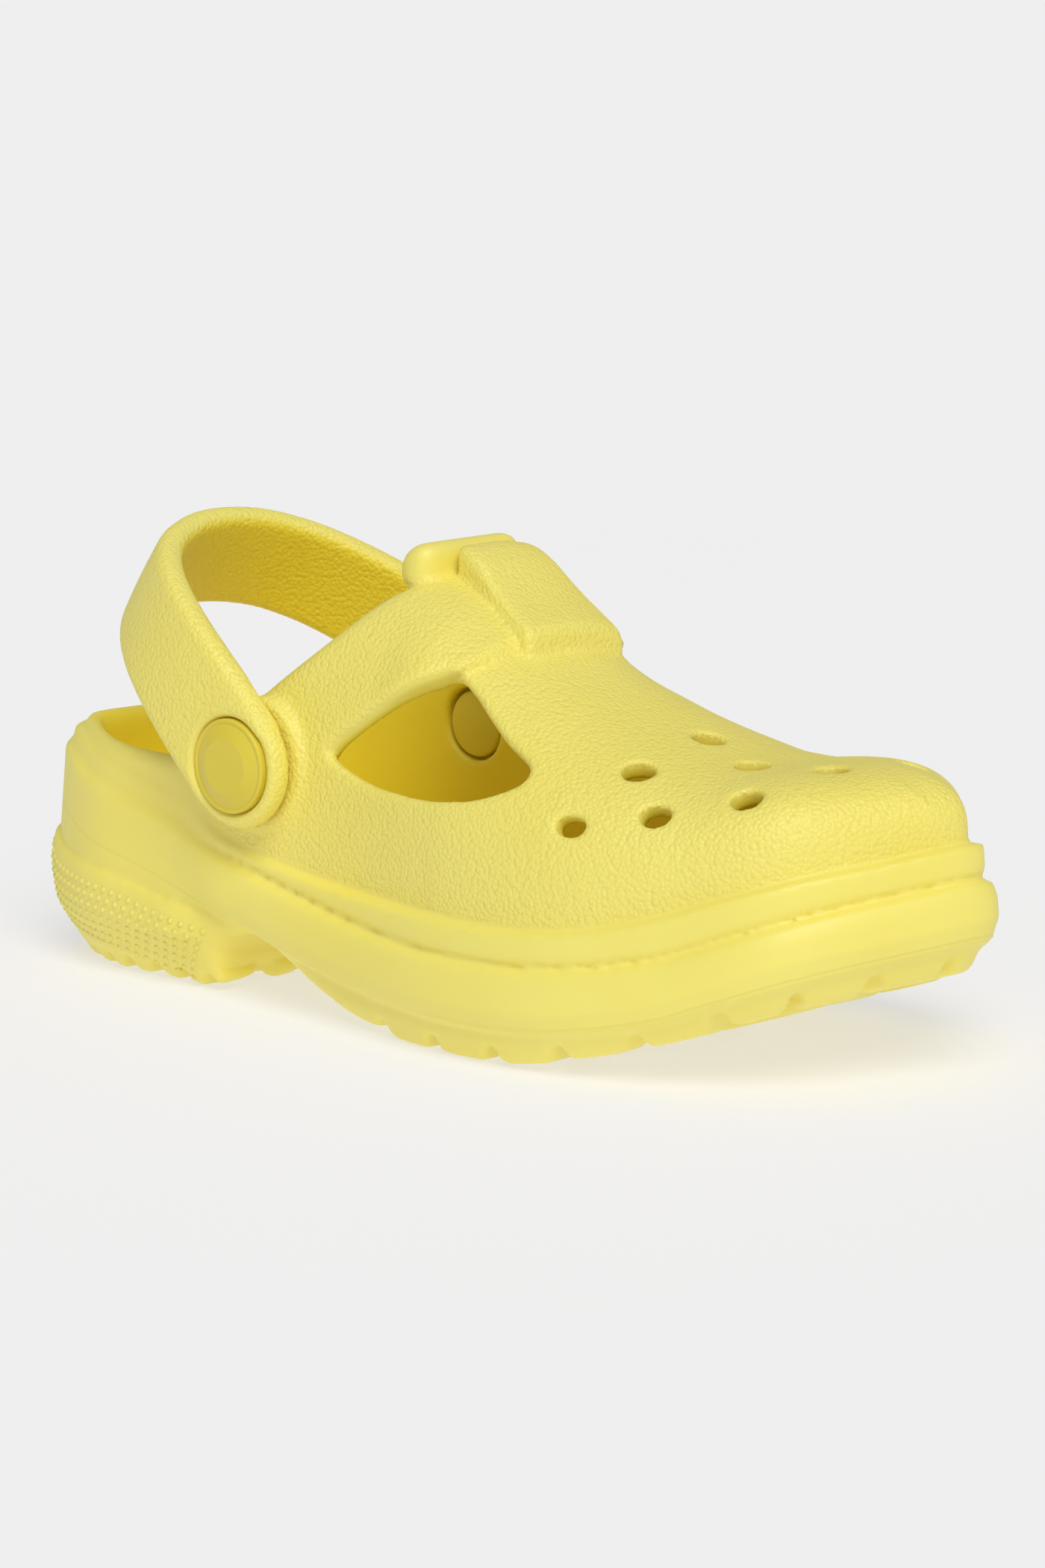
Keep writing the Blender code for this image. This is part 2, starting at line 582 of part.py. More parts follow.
# ---------------------------------------------------------------- rivets
def build_rivet(side, tag):
    """Snap rivet: outer cap with its stem, and the disc that locks on inside the shell."""
    pivot = (HINGE_X, 0.0, HINGE_Z)
    seat = PAD_Y + GAP + LUG_THICK - RECESS_DEPTH + GAP
    top = PAD_Y + GAP + LUG_THICK + HEAD_PROUD
    disc_out = SEAT_Y - GAP
    disc_in = disc_out - BACK_THICK
    tip_end = disc_in + 1.1
    cap = lathe(f"rivet_cap_{tag}", (
        (0, tip_end), (TIP_RADIUS, tip_end), (TIP_RADIUS, disc_out + 0.2),
        (STEM_RADIUS, disc_out + 0.2), (STEM_RADIUS, seat), (HEAD_RADIUS, seat),
        (HEAD_RADIUS, top - 1.1), (HEAD_RADIUS - 0.5, top - 0.7), (HEAD_RADIUS - 1.0, top - 0.75),
        (HEAD_FLAT, top), (0, top)), side, pivot)
    finish(cap, material(f"rivet_foam_{tag}", (0.62, 0.50, 0.06), 0.35), 25)
    back = lathe(f"rivet_back_{tag}", (
        (0, disc_in + 0.8), (TIP_RADIUS + 0.25, disc_in + 0.8), (TIP_RADIUS + 0.25, disc_out),
        (BACK_RADIUS, disc_out), (BACK_RADIUS, disc_in + 0.5), (BACK_RADIUS - 0.5, disc_in),
        (0, disc_in)), side, pivot)
    finish(back, material(f"rivet_back_foam_{tag}", (0.58, 0.46, 0.05), 0.4), 25)


def main():
    clear_scene()
    build_shell()
    build_strap()
    build_rivet(-1, "right")
    build_rivet(1, "left")


main()
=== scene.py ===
"""Looks of the rubber garden clog: foam shell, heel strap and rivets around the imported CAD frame.

Shapes are drawn in millimetres as distance fields, meshed on a grid and then scaled to metres.
Frame: +X to the toe, +Y to the wearer's left, +Z up, ground at z = 0.
"""
import math

import bpy
import bmesh
import numpy as np
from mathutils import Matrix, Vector
from mathutils.bvhtree import BVHTree


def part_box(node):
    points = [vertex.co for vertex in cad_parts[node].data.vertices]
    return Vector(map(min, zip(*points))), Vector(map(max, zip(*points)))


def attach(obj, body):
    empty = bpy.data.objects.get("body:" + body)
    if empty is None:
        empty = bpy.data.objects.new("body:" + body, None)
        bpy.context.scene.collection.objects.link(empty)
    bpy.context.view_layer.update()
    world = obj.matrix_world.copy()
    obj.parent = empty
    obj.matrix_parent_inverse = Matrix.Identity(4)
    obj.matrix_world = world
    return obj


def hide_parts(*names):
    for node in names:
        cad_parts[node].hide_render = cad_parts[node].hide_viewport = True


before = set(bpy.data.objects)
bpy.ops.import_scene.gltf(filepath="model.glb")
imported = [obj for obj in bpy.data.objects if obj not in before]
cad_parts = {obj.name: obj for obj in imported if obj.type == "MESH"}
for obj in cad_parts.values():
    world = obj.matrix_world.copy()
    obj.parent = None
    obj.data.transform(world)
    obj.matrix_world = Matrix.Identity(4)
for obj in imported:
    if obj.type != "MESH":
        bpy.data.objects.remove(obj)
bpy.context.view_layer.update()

# ---------------------------------------------------------------- dimensions, mm
MM = 0.001
CELL = 0.8          # grid size of the shell
STRAP_CELL = 0.6    # grid size of the heel strap
SHELL_LOW, SHELL_HIGH = (-106, -48, -2.4), (106, 48.5, 87)   # corners of the shell's grid
LENGTH = 205.0
WALL = 3.8
GAP = 0.3

# widest outline of the sole seen from above, heel tip first, outer side, toe, inner side
OUTLINE = (
    (-102.3, -1), (-100.9, -19.8), (-81.9, -31.6), (-60, -33.5), (-35, -35.5), (-8, -39),
    (20, -44), (45, -44), (68, -38), (89.6, -27.8), (101.5, -8.2), (105.8, 10.1), (94.7, 24),
    (83.5, 38.1), (62.1, 45.6), (38, 44.5), (10, 39), (-18, 35.5), (-45, 34), (-68, 32.5),
    (-87, 26.5), (-99.5, 14),
)
# heights along the shoe: (x, z)
TREAD = ((-103, 1.5), (-90, 0), (-60, 0), (-20, 0), (20, 0), (37, 0.8), (49, 3.2), (59, 5.7),
         (69, 8.8), (76, 11.6), (84, 14.3), (91, 16.6), (96, 18), (103, 20.5))
GROOVE_LINE = ((-103, 41), (-96, 39.8), (-88.6, 37.8), (-82.7, 35.8), (-68, 32.6), (-53, 29),
               (-38, 25.6), (-24, 22.8), (-5, 19.8), (17, 18.3), (36, 18.4), (51, 19.8),
               (65, 22.8), (76, 26.9), (89, 31.8), (98, 34.7), (103, 36.2))
UPPER_LINE = ((-103, 44.4), (-96, 43.4), (-88.6, 41.8), (-82.7, 40.3), (-68, 37.2), (-53, 33),
              (-40, 29), (-28, 26.8), (-9, 24.8), (14, 24.2), (33, 24.2), (49, 25.7), (63, 29.2),
              (74, 33.2), (87, 37.6), (93, 39.3), (98, 41), (103, 42.2))
RIDGE = ((-103, 74), (-60, 77), (-25, 78.6), (-13, 78.4), (-7, 77.6), (-3, 76), (2, 73.2),
         (9, 69.4), (16, 66), (22, 63.4), (28, 61.1), (35, 58.5), (44, 55.7), (50.5, 54.1),
         (57, 52.8), (65, 52.2), (73, 52.7), (83, 53.3), (103, 53.6))
FOOTBED = ((-103, 25), (-90, 23), (-60, 21), (-30, 21), (0, 17.5), (40, 16.5), (60, 20),
           (80, 27), (103, 36))
UPPER_INSET = ((-103, 6.6), (-90, 6), (-62, 4.8), (-48, 3.5), (-36, 3.7), (-25, 4.6), (-8, 5.8),
               (10, 5.8), (25, 5.5), (103, 5.5))
DOME_POWER = ((-103, 3.2), (-10, 2.9), (30, 2.6), (60, 2.9), (90, 3.6), (103, 3.6))
INNER_DOME_POWER = ((-103, 3.2), (-10, 2.9), (15, 2.1), (30, 1.95), (45, 1.95), (60, 2),
                    (90, 3.2), (103, 3.6))
SPINE_X = (-62.0, 66.0)
SIDE_DROP = 7.7                            # widest line of the sole, under the groove line
SEAM_DROP = 3.0                            # mould's parting line, under the widest line
FOOTBED_CUP = 3.0                          # how far the footbed curls up at its edge
HEEL_BLOCK = ((-103, 24.5), (-98, 23), (-92, 20.8), (-73, 19), (-62, 17), (-51, 15), (-42, 13.5),
              (-20, 12))                   # ledge over the heel block, (x, z)
HEEL_BLEND = (-58.0, -42.0)

COLLAR = ((-112, 47.5), (-100, 46.5), (-86, 44), (-70, 42.5), (-56, 43.2), (-47, 47),
          (-38.5, 53), (-31, 59), (-21, 67.2), (-14, 74.5), (-11, 79), (-10, 92))
RIM_RAISE, RIM_X = 1.0, (-55, -44)         # the rim stands this much over COLLAR, fading in along x
FAR_RIM_RAISE = 6.0                        # and this much more on the inner side, round the hinge
FAR_RIM_REAR, FAR_RIM_FRONT, FAR_RIM_Y = (-78, -56), (-30, -40), (0, 10)
WINDOW = (
    (-15, -32.5, 49.6), (-12.4, -32.5, 52.4), (-6.9, -31.5, 55.8), (-0.3, -30, 59.6),
    (6.3, -27.5, 62.9), (9.6, -25.5, 64.4), (14.1, -26, 62.1), (19, -28, 59.3),
    (25.1, -30, 55.7), (31, -31, 52.6), (32.6, -31.8, 50.6), (31.6, -33, 48.6),
    (27.2, -34.2, 46.2), (21.4, -35, 44.6), (12.8, -35, 43.9), (4, -34.6, 44.7),
    (-5, -34, 46.3), (-12, -33, 48.2),
)
WINDOW_TILT = 40.0
WINDOW_REACH = (-15.0, 16.0)               # along the window axis, from the middle of its rim
WINDOW_SHIFT = 1.2                         # set back along x from the outline above
WINDOW_MIRROR_X = 8.0                      # the inner window mirrors the outer one about the spine here
VENT_RADIUS = 2.9
VENTS = ((48, -2.3), (49.2, -21.9), (62.3, -7.2), (77, -3.9), (73.1, -21.4), (58.8, -28.5),
         (44.5, -34.3), (49.5, 23), (64, 14), (79, 16), (73, 28.5), (59.5, 32), (45, 34))
ARCH = ((-47.5, -5), (-46.4, 8), (-44, 11.3), (-40, 12.8), (-36, 13.1), (-32, 11.9), (-28, 10.1),
        (-24, 8.3), (-20, 6.2), (-13, 3.2), (-6, 1.4), (2, 0.4), (8, -5))
ARCH_OFFSET = 0.7                          # the cut stays inside ARCH, because its edge is rounded

# tread: blocks round the edge of the sole, and chevron bars within them
TREAD_DEPTH = 3.0
LUG_PITCH, HEEL_LUG_PITCH = 15.5, 7.6
HEEL_LUG_END = -40.0                       # the finer heel lugs lie behind this x
LUG_SLOT, SLOT_SLOPE = 0.9, 0.45           # half width of a slot, and how fast it widens downwards
LUG_SHIFT = 2.5                            # moves the slots this far towards the heel tip
LUG_WIDTH = 16.0                           # the blocks reach this far in from the edge
BAR_START, BAR_PITCH, BAR_SWEEP = 19.0, 10.5, 0.45

# raised dots on the heel block, in rows under its ledge
DOT_ROWS, DOT_COUNT = 7, 30                # dots each way from the heel tip
DOT_PITCH, DOT_DROP = 2.3, 1.9             # along a row, and from row to row
DOT_TOP = 3.0                              # first row, under the ledge
DOT_END, DOT_END_SHIFT = -48.0, 1.2        # front end of the first row, and the shift of each next one
DOT_RADIUS, DOT_HEIGHT = 0.6, 0.38
DOT_RINGS = ((1.35, -0.15), (1.0, 0.1), (0.55, 0.32))   # share of the radius, height

BAND_RAISE = 1.7                           # instep strap above the T-bar
BAND_EDGE = ((49.6, -15), (52.4, -12.4), (55.8, -6.9), (59.6, -0.3), (62.9, 6.3), (64.4, 9.6),
             (67, 11.8), (90, 11.8))       # front edge of the instep strap, (z, x)
LOOP_RAISE, LOOP_REAR_RAISE = 4.0, 1.8     # keeper loop above the dome, and more at its rear edge
LOOP_X = (-8.6, 14.8)
LOOP_Y = ((-8.6, -6.5, 12.5), (14.8, -12.8, 13.0))   # x, near edge, far edge
# raised tab behind the loop, seen from the side, (x, z)
TAB = ((-9.8, 76), (-9.6, 82), (-11, 83.8), (-13.6, 83.8), (-16, 82.2), (-17.2, 79.6),
       (-16.6, 76.4), (-13, 74.5))
TAB_Y = (-13.5, 12.5)

HINGE_X, HINGE_Z = -34.5, 44.5
PAD_Y, PAD_RADIUS = 33.0, 12.6             # flat hinge pads on both sides of the shell
PAD_INNER_Y, PAD_RELIEF = 26.0, 0.6
SEAT_Y, SEAT_RADIUS = 28.4, 7.0
BORE_RADIUS, BORE_INNER_Y = 2.9, 20.0
LUG_RADIUS, LUG_THICK = 11.5, 5.0
STRAP_THICK = 5.0
STRAP_WIDTH = (23.3, 20.8)
STRAP_REACH, STRAP_RISE = 43.4, 30.6       # back from the hinge, and up at the rear
STRAP_SLOPE, STRAP_LEAN = 31.0, 32.0       # degrees
STRAP_POWER = 2.13                         # roundness of its path seen from above
STRAP_SAG = 4.6                            # dip of the inner half
STRAP_CROWN, STRAP_CORNER = 0.35, 2.0      # bulge of the outer face, and edge radius
STRAP_CLEAR = 1.5                          # kept free round the hinge pad
RECESS_RADIUS, RECESS_DEPTH = 8.9, 1.6
HEAD_RADIUS, HEAD_PROUD, HEAD_FLAT = 8.6, 1.3, 5.1
STEM_RADIUS, TIP_RADIUS = 2.6, 1.6
BACK_RADIUS, BACK_THICK = 6.3, 2.2


# ---------------------------------------------------------------- curves
def smooth_path(points, steps=8):
    """Catmull-Rom curve through open points."""
    pts = np.array(points, float)
    ends = np.vstack([2 * pts[0] - pts[1], pts, 2 * pts[-1] - pts[-2]])
    out = []
    for i in range(1, len(ends) - 2):
        p0, p1, p2, p3 = ends[i - 1:i + 3]
        for t in np.linspace(0, 1, steps, endpoint=False):
            out.append(0.5 * (2 * p1 + (p2 - p0) * t + (2 * p0 - 5 * p1 + 4 * p2 - p3) * t ** 2
                              + (3 * p1 - p0 - 3 * p2 + p3) * t ** 3))
    out.append(pts[-1])
    return np.array(out)


def profile(points):
    """Value as a smooth function of x, never below zero."""
    pts = smooth_path(points)
    return lambda x: np.maximum(np.interp(x, pts[:, 0], pts[:, 1]), 0.0)


tread_z = profile(TREAD)
block_z = profile(HEEL_BLOCK)
groove_z = profile(GROOVE_LINE)
upper_z = profile(UPPER_LINE)
ridge_z = profile(RIDGE)
footbed_z = profile(FOOTBED)
upper_inset = profile(UPPER_INSET)
dome_power = profile(DOME_POWER)
inner_dome_power = profile(INNER_DOME_POWER)


def smoothstep(lo, hi, v):
    """0 at lo, 1 at hi, with soft ends."""
    t = np.clip((v - lo) / (hi - lo), 0, 1)
    return t * t * (3 - 2 * t)


def heel_amount(x):
    """1 over the heel block, 0 ahead of it."""
    return smoothstep(HEEL_BLEND[1], HEEL_BLEND[0], x)


def plan_outline():
    """Outline points and outward normals, heel tip first, outer side, toe, inner side."""
    pts = np.array(OUTLINE, float)
    loop = np.vstack([pts, pts[:1]])
    ring = smooth_path(np.vstack([pts[-2:], loop, pts[1:3]]), 24)[48:-49]
    ring -= (ring.min(0) + ring.max(0)) / 2
    ring *= LENGTH / np.ptp(ring[:, 0])
    step = np.roll(ring, -1, 0) - np.roll(ring, 1, 0)
    normal = np.c_[step[:, 1], -step[:, 0]]
    normal /= np.linalg.norm(normal, axis=1)[:, None]
    if (ring * normal).sum() < 0:
        normal = -normal
    heel = int(np.argmin(ring[:, 0]))
    return np.roll(ring, -heel, 0), np.roll(normal, -heel, 0)


RING, RING_NORMAL = plan_outline()
TOE = int(np.argmax(RING[:, 0]))
BASE = RING - RING_NORMAL * upper_inset(RING[:, 0])[:, None]
SIDES = (RING[:TOE + 1], np.vstack([RING[TOE:], RING[:1]])[::-1])
BASE_SIDES = (BASE[:TOE + 1], np.vstack([BASE[TOE:], BASE[:1]])[::-1])


def spine_y(x):
    """Middle of the sole's width at x."""
    lo = np.interp(x, SIDES[0][:, 0], SIDES[0][:, 1])
    hi = np.interp(x, SIDES[1][:, 0], SIDES[1][:, 1])
    return (lo + hi) / 2


# ---------------------------------------------------------------- distance fields
def smax(a, b, k):
    """Larger of two fields with the edge rounded over about k."""
    h = np.maximum(k - np.abs(a - b), 0) / k
    return np.maximum(a, b) + h * h * k * 0.25


def smin(a, b, k):
    """Smaller of two fields with the corner filled over about k."""
    return -smax(-a, -b, k)


def polygon_distance(px, py, poly):
    """Signed distance (negative inside) to a closed polygon, and arc length at the nearest point."""
    a = poly
    ab = np.roll(poly, -1, 0) - poly
    size = (ab ** 2).sum(1)
    arc0 = np.r_[0, np.cumsum(np.sqrt(size))[:-1]]
    shape = np.broadcast(px, py).shape
    fx = np.broadcast_to(px, shape).ravel()
    fy = np.broadcast_to(py, shape).ravel()
    dist, arc = np.empty(fx.size), np.empty(fx.size)
    for start in range(0, fx.size, 8192):
        part = slice(start, start + 8192)
        x, y = fx[part, None], fy[part, None]
        rx, ry = x - a[None, :, 0], y - a[None, :, 1]
        t = np.clip((rx * ab[:, 0] + ry * ab[:, 1]) / size, 0, 1)
        dx, dy = rx - t * ab[:, 0], ry - t * ab[:, 1]
        d = dx * dx + dy * dy
        best = np.argmin(d, axis=1)
        rows = np.arange(len(best))
        y1 = np.roll(a[:, 1], -1)
        crosses = (a[None, :, 1] > y) != (y1[None] > y)
        slope = ab[:, 0] / np.where(np.abs(ab[:, 1]) < 1e-9, 1e-9, ab[:, 1])
        inside = (crosses & (x < a[None, :, 0] + ry * slope)).sum(1) % 2 == 1
        dist[part] = np.sqrt(d[rows, best]) * np.where(inside, -1, 1)
        arc[part] = arc0[best] + t[rows, best] * np.sqrt(size[best])
    return dist.reshape(shape), arc.reshape(shape)


def bilinear(table, xs, ys, x, y):
    """Sample a table on a regular grid (xs, ys) at arbitrary places."""
    u = np.clip((x - xs[0]) / (xs[1] - xs[0]), 0, len(xs) - 1.001)
    v = np.clip((y - ys[0]) / (ys[1] - ys[0]), 0, len(ys) - 1.001)
    i, j = u.astype(int), v.astype(int)
    u, v = u - i, v - j
    return (table[i, j] * (1 - u) * (1 - v) + table[i + 1, j] * u * (1 - v)
            + table[i, j + 1] * (1 - u) * v + table[i + 1, j + 1] * u * v)


def blur(f):
    """Small separable blur that softens moulded edges."""
    for axis in range(3):
        a = np.concatenate([f.take([0], axis), f, f.take([-1], axis)], axis)
        n = f.shape[axis]
        f = 0.25 * a.take(range(0, n), axis) + 0.5 * f + 0.25 * a.take(range(2, n + 2), axis)
    return f


def sample(f, origin, cell, pts):
    """Trilinear value and gradient of a grid field at points."""
    q = (pts - origin) / cell
    i = np.clip(q.astype(int), 0, np.array(f.shape) - 2)
    t = q - i
    x, y, z = i.T
    tx, ty, tz = t.T
    c = {(a, b, d): f[x + a, y + b, z + d] for a in (0, 1) for b in (0, 1) for d in (0, 1)}
    wx, wy, wz = (1 - tx, tx), (1 - ty, ty), (1 - tz, tz)
    value = sum(c[k] * wx[k[0]] * wy[k[1]] * wz[k[2]] for k in c)
    gx = sum((2 * k[0] - 1) * c[k] * wy[k[1]] * wz[k[2]] for k in c)
    gy = sum((2 * k[1] - 1) * c[k] * wx[k[0]] * wz[k[2]] for k in c)
    gz = sum((2 * k[2] - 1) * c[k] * wx[k[0]] * wy[k[1]] for k in c)
    return value, np.c_[gx, gy, gz] / cell


def mesh_field(f, origin, cell, relax=2):
    """Quads on the zero level of a grid field, one vertex a cell, pulled on to the surface."""
    inside = f < 0
    count = np.zeros(tuple(n - 1 for n in f.shape), np.int8)
    for a in (0, 1):
        for b in (0, 1):
            for c in (0, 1):
                count += inside[a:f.shape[0] - 1 + a, b:f.shape[1] - 1 + b, c:f.shape[2] - 1 + c]
    mixed = (count > 0) & (count < 8)
    ids = np.flatnonzero(mixed)
    index = np.full(mixed.shape, -1, np.int64)
    index.ravel()[ids] = np.arange(len(ids))
    cells = np.array(np.unravel_index(ids, mixed.shape)).T
    total, hits = np.zeros((len(ids), 3)), np.zeros(len(ids))
    for axis in range(3):
        for a in (0, 1):
            for b in (0, 1):
                low = np.zeros(3, int)
                others = [k for k in range(3) if k != axis]
                low[others[0]], low[others[1]] = a, b
                high = low.copy()
                high[axis] = 1
                f0 = f[tuple((cells + low).T)]
                f1 = f[tuple((cells + high).T)]
                cut = (f0 < 0) != (f1 < 0)
                t = f0[cut] / (f0[cut] - f1[cut])
                total[cut] += low + t[:, None] * (high - low)
                hits[cut] += 1
    verts = origin + (cells + total / hits[:, None]) * cell
    quads = []
    for axis in range(3):
        o1, o2 = [k for k in range(3) if k != axis]
        near = [slice(1, n - 1) for n in f.shape]
        far = list(near)
        near[axis], far[axis] = slice(0, -1), slice(1, None)
        s0, s1 = inside[tuple(near)], inside[tuple(far)]
        for first, flip in ((s0 & ~s1, False), (~s0 & s1, True)):
            at = np.array(np.nonzero(first)).T
            at[:, o1] += 1
            at[:, o2] += 1
            corners = []
            for d1, d2 in ((-1, -1), (0, -1), (0, 0), (-1, 0)):
                c = at.copy()
                c[:, o1] += d1
                c[:, o2] += d2
                corners.append(index[tuple(c.T)])
            quad = np.array(corners).T
            if flip != (axis == 1):
                quad = quad[:, ::-1]
            quads.append(quad)
    quads = np.vstack(quads)
    start, end = quads.ravel(), np.roll(quads, -1, 1).ravel()
    for step in range(relax + 1):
        for _ in range(2):
            value, grad = sample(f, origin, cell, verts)
            size = np.maximum((grad ** 2).sum(1), 0.05)
            move = -(value / size)[:, None] * grad
            limit = 0.6 * cell / np.maximum(np.linalg.norm(move, axis=1), 1e-9)
            verts = verts + move * np.minimum(limit, 1)[:, None]
        if step == relax:
            break
        total = np.zeros_like(verts)
        for k in range(3):
            total[:, k] = (np.bincount(start, verts[end, k], len(verts))
                           + np.bincount(end, verts[start, k], len(verts)))
        hits = np.bincount(start, minlength=len(verts)) + np.bincount(end, minlength=len(verts))
        verts = verts * 0.5 + 0.5 * total / hits[:, None]
    return verts, quads


def to_object(name, verts, quads, attributes=()):
    """Mesh object in metres from mm points, smooth shaded, with float attributes on its points."""
    mesh = bpy.data.meshes.new(name)
    mesh.vertices.add(len(verts))
    mesh.vertices.foreach_set("co", (verts * MM).ravel())
    mesh.loops.add(quads.size)
    mesh.loops.foreach_set("vertex_index", quads.ravel().astype(np.int32))
    mesh.polygons.add(len(quads))
    mesh.polygons.foreach_set("loop_start", np.arange(0, quads.size, 4, dtype=np.int32))
    mesh.update(calc_edges=True)
    mesh.validate()
    for label, values in attributes:
        layer = mesh.attributes.new(label, "FLOAT", "POINT")
        layer.data.foreach_set("value", values.astype(np.float32))
    mesh.shade_smooth()
    ob = bpy.data.objects.new(name, mesh)
    bpy.context.collection.objects.link(ob)
    return ob


# ---------------------------------------------------------------- shell field
class Grid:
    """Regular grid of mm positions, with its axes ready for broadcasting."""

    def __init__(self, low, high, cell):
        self.cell = cell
        self.axes = [np.arange(lo, hi + cell, cell) for lo, hi in zip(low, high)]
        self.origin = np.array([a[0] for a in self.axes])
        self.x = self.axes[0][:, None, None]
        self.y = self.axes[1][None, :, None]
        self.z = self.axes[2][None, None, :]


def side_distance(grid, outline):
    """Signed distance to an outline seen from the side, (x, z), the same at every y."""
    return polygon_distance(grid.axes[0][:, None], grid.axes[2][None, :], outline)[0][:, None, :]


def dome_gauge(x, y):
    """How far (x, y) lies from the spine towards the base outline (1 on it), and the base x there."""
    x, y = np.broadcast_arrays(x, y)
    mid = spine_y(x)
    lo = np.interp(x, BASE_SIDES[0][:, 0], BASE_SIDES[0][:, 1])
    hi = np.interp(x, BASE_SIDES[1][:, 0], BASE_SIDES[1][:, 1])
    gauge = np.where(y < mid, (mid - y) / np.maximum(mid - lo, 1e-6),
                     (y - mid) / np.maximum(hi - mid, 1e-6))
    base_x = x.copy()
    for end, sign in ((SPINE_X[0], -1), (SPINE_X[1], 1)):
        cx, cy = end, float(spine_y(end))
        ring = BASE[(BASE[:, 0] - cx) * sign > -1.0]
        angle = np.arctan2(ring[:, 1] - cy, (ring[:, 0] - cx) * sign)
        order = np.argsort(angle)
        radius = np.hypot(ring[:, 0] - cx, ring[:, 1] - cy)
        beyond = (x - cx) * sign > 0
        here = np.arctan2(y - cy, (x - cx) * sign)
        reach = np.interp(here, angle[order], radius[order])
        gauge = np.where(beyond, np.hypot(x - cx, y - cy) / reach, gauge)
        base_x = np.where(beyond, cx + sign * reach * np.cos(here), base_x)
    return gauge, base_x


def dome_field(grid):
    """Signed distance to the outside of the upper, roughly true near the skin."""
    gauge, base_x = dome_gauge(grid.x[:, :, 0], grid.y[:, :, 0])
    inner = grid.y[:, :, 0] > spine_y(grid.x[:, :, 0])
    power = np.where(inner, inner_dome_power(base_x), dome_power(base_x))[:, :, None]
    foot = upper_z(base_x)[:, :, None]
    top = ridge_z(grid.x)
    rise = np.maximum((grid.z - foot) / (top - foot), 0)
    g = (gauge[:, :, None] ** power + rise ** power) ** (1 / power) - 1
    gx, gy, gz = np.gradient(g, grid.cell)
    return g / np.maximum(np.sqrt(gx * gx + gy * gy + gz * gz), 1 / 60), gauge


def side_inset(grid):
    """How far the side of the sole stands in from the widest outline, by (x, z)."""
    x, z = grid.axes[0], grid.axes[2]
    tread, groove, block, upper = tread_z(x), groove_z(x), block_z(x), upper_z(x)
    bulge = groove - SIDE_DROP
    edge = np.maximum(bulge - 4.7, tread + 1.2)
    lip = np.maximum(upper - 0.8, groove + 2.2)
    front = [
        (5, tread), (3.2, edge), (1.2, edge + 1.4), (0, bulge), (0.3, groove - 4),
        (1.1, groove - 1.6), (2.4, groove - 0.6), (3.6, groove - 0.1), (3.1, groove + 0.4),
        (2.6, groove + 0.9), (2.55, groove + 1.9), (2.8, lip), (upper_inset(x), upper + 0.6),
    ]
    heel = [
        (7, tread), (0.9, tread + 10), (0.1, block - 7), (0, block - 5), (0.3, block - 2),
        (0.5, block - 0.7), (1.0, block), (1.9, block + 0.5), (1.6, block + 1.2),
        (2.7, groove - 1.0), (4.0, groove + 0.6), (4.4, groove + 1.9), (4.6, lip),
        (upper_inset(x), upper + 0.6),
    ]
    both = []
    for rows in (front, heel):
        insets = np.array([np.broadcast_to(r[0], x.shape) for r in rows], float).T
        levels = np.maximum.accumulate(np.array([r[1] for r in rows]).T
                                       + np.arange(len(rows)) * 1e-3, 1)
        both.append(np.array([np.interp(z, levels[i], insets[i]) for i in range(len(x))]))
    h = heel_amount(x)[:, None]
    return both[0] * (1 - h) + both[1] * h


def tread_slots(arc, depth, x, y):
    """Plan distance to the tread lugs (negative on a lug): a ring of blocks round chevron bars."""
    total = np.linalg.norm(np.roll(RING, -1, 0) - RING, axis=1).sum()
    from_heel = np.minimum(arc, total - arc)
    pitch = np.where(x < HEEL_LUG_END, HEEL_LUG_PITCH, LUG_PITCH)
    place = np.abs((from_heel + LUG_SHIFT) % pitch - pitch / 2)
    ring = np.maximum(LUG_SLOT - place, depth - LUG_WIDTH)
    bars = np.abs((x + BAR_SWEEP * np.abs(y - spine_y(x))) % BAR_PITCH - BAR_PITCH / 2)
    inner = np.maximum(LUG_SLOT - bars, BAR_START - depth)
    return np.minimum(ring, inner)


def window_field(grid, side):
    """Distance to one side window's prism (negative inside)."""
    lift = math.radians(WINDOW_TILT)
    pts = smooth_path(WINDOW + WINDOW[:1], 6)[:-1]
    out = np.array((0.0, -math.cos(lift), math.sin(lift)))
    along = np.array((0.0, math.sin(lift), math.cos(lift)))
    flat = np.c_[pts[:, 0] - WINDOW_SHIFT, pts @ along]
    us = np.arange(-30, 48, 0.8)
    vs = np.arange(flat[:, 1].min() - 14, flat[:, 1].max() + 14, 0.8)
    table = polygon_distance(us[:, None], vs[None, :], flat)[0]
    y = grid.y if side < 0 else 2 * float(spine_y(WINDOW_MIRROR_X)) - grid.y
    v = y * along[1] + grid.z * along[2]
    w = y * out[1] + grid.z * out[2] - pts.mean(0) @ out
    f = bilinear(table, us, vs, *np.broadcast_arrays(grid.x, v))
    return smax(smax(f, w - WINDOW_REACH[1], 1.0), WINDOW_REACH[0] - w, 1.0)


def skin_point(x, y):
    """Point and normal of the dome's skin above plan (x, y)."""
    def height(px, py):
        gauge, base_x = dome_gauge(np.array(px, float), np.array(py, float))
        power = inner_dome_power(base_x) if py > spine_y(px) else dome_power(base_x)
        foot = upper_z(base_x)
        return float(foot + (ridge_z(px) - foot) * (1 - min(gauge, 0.999) ** power) ** (1 / power))

    d = 0.5
    n = np.array(((height(x - d, y) - height(x + d, y)) / (2 * d),
                  (height(x, y - d) - height(x, y + d)) / (2 * d), 1.0))
    return np.array((x, y, height(x, y))), n / np.linalg.norm(n)


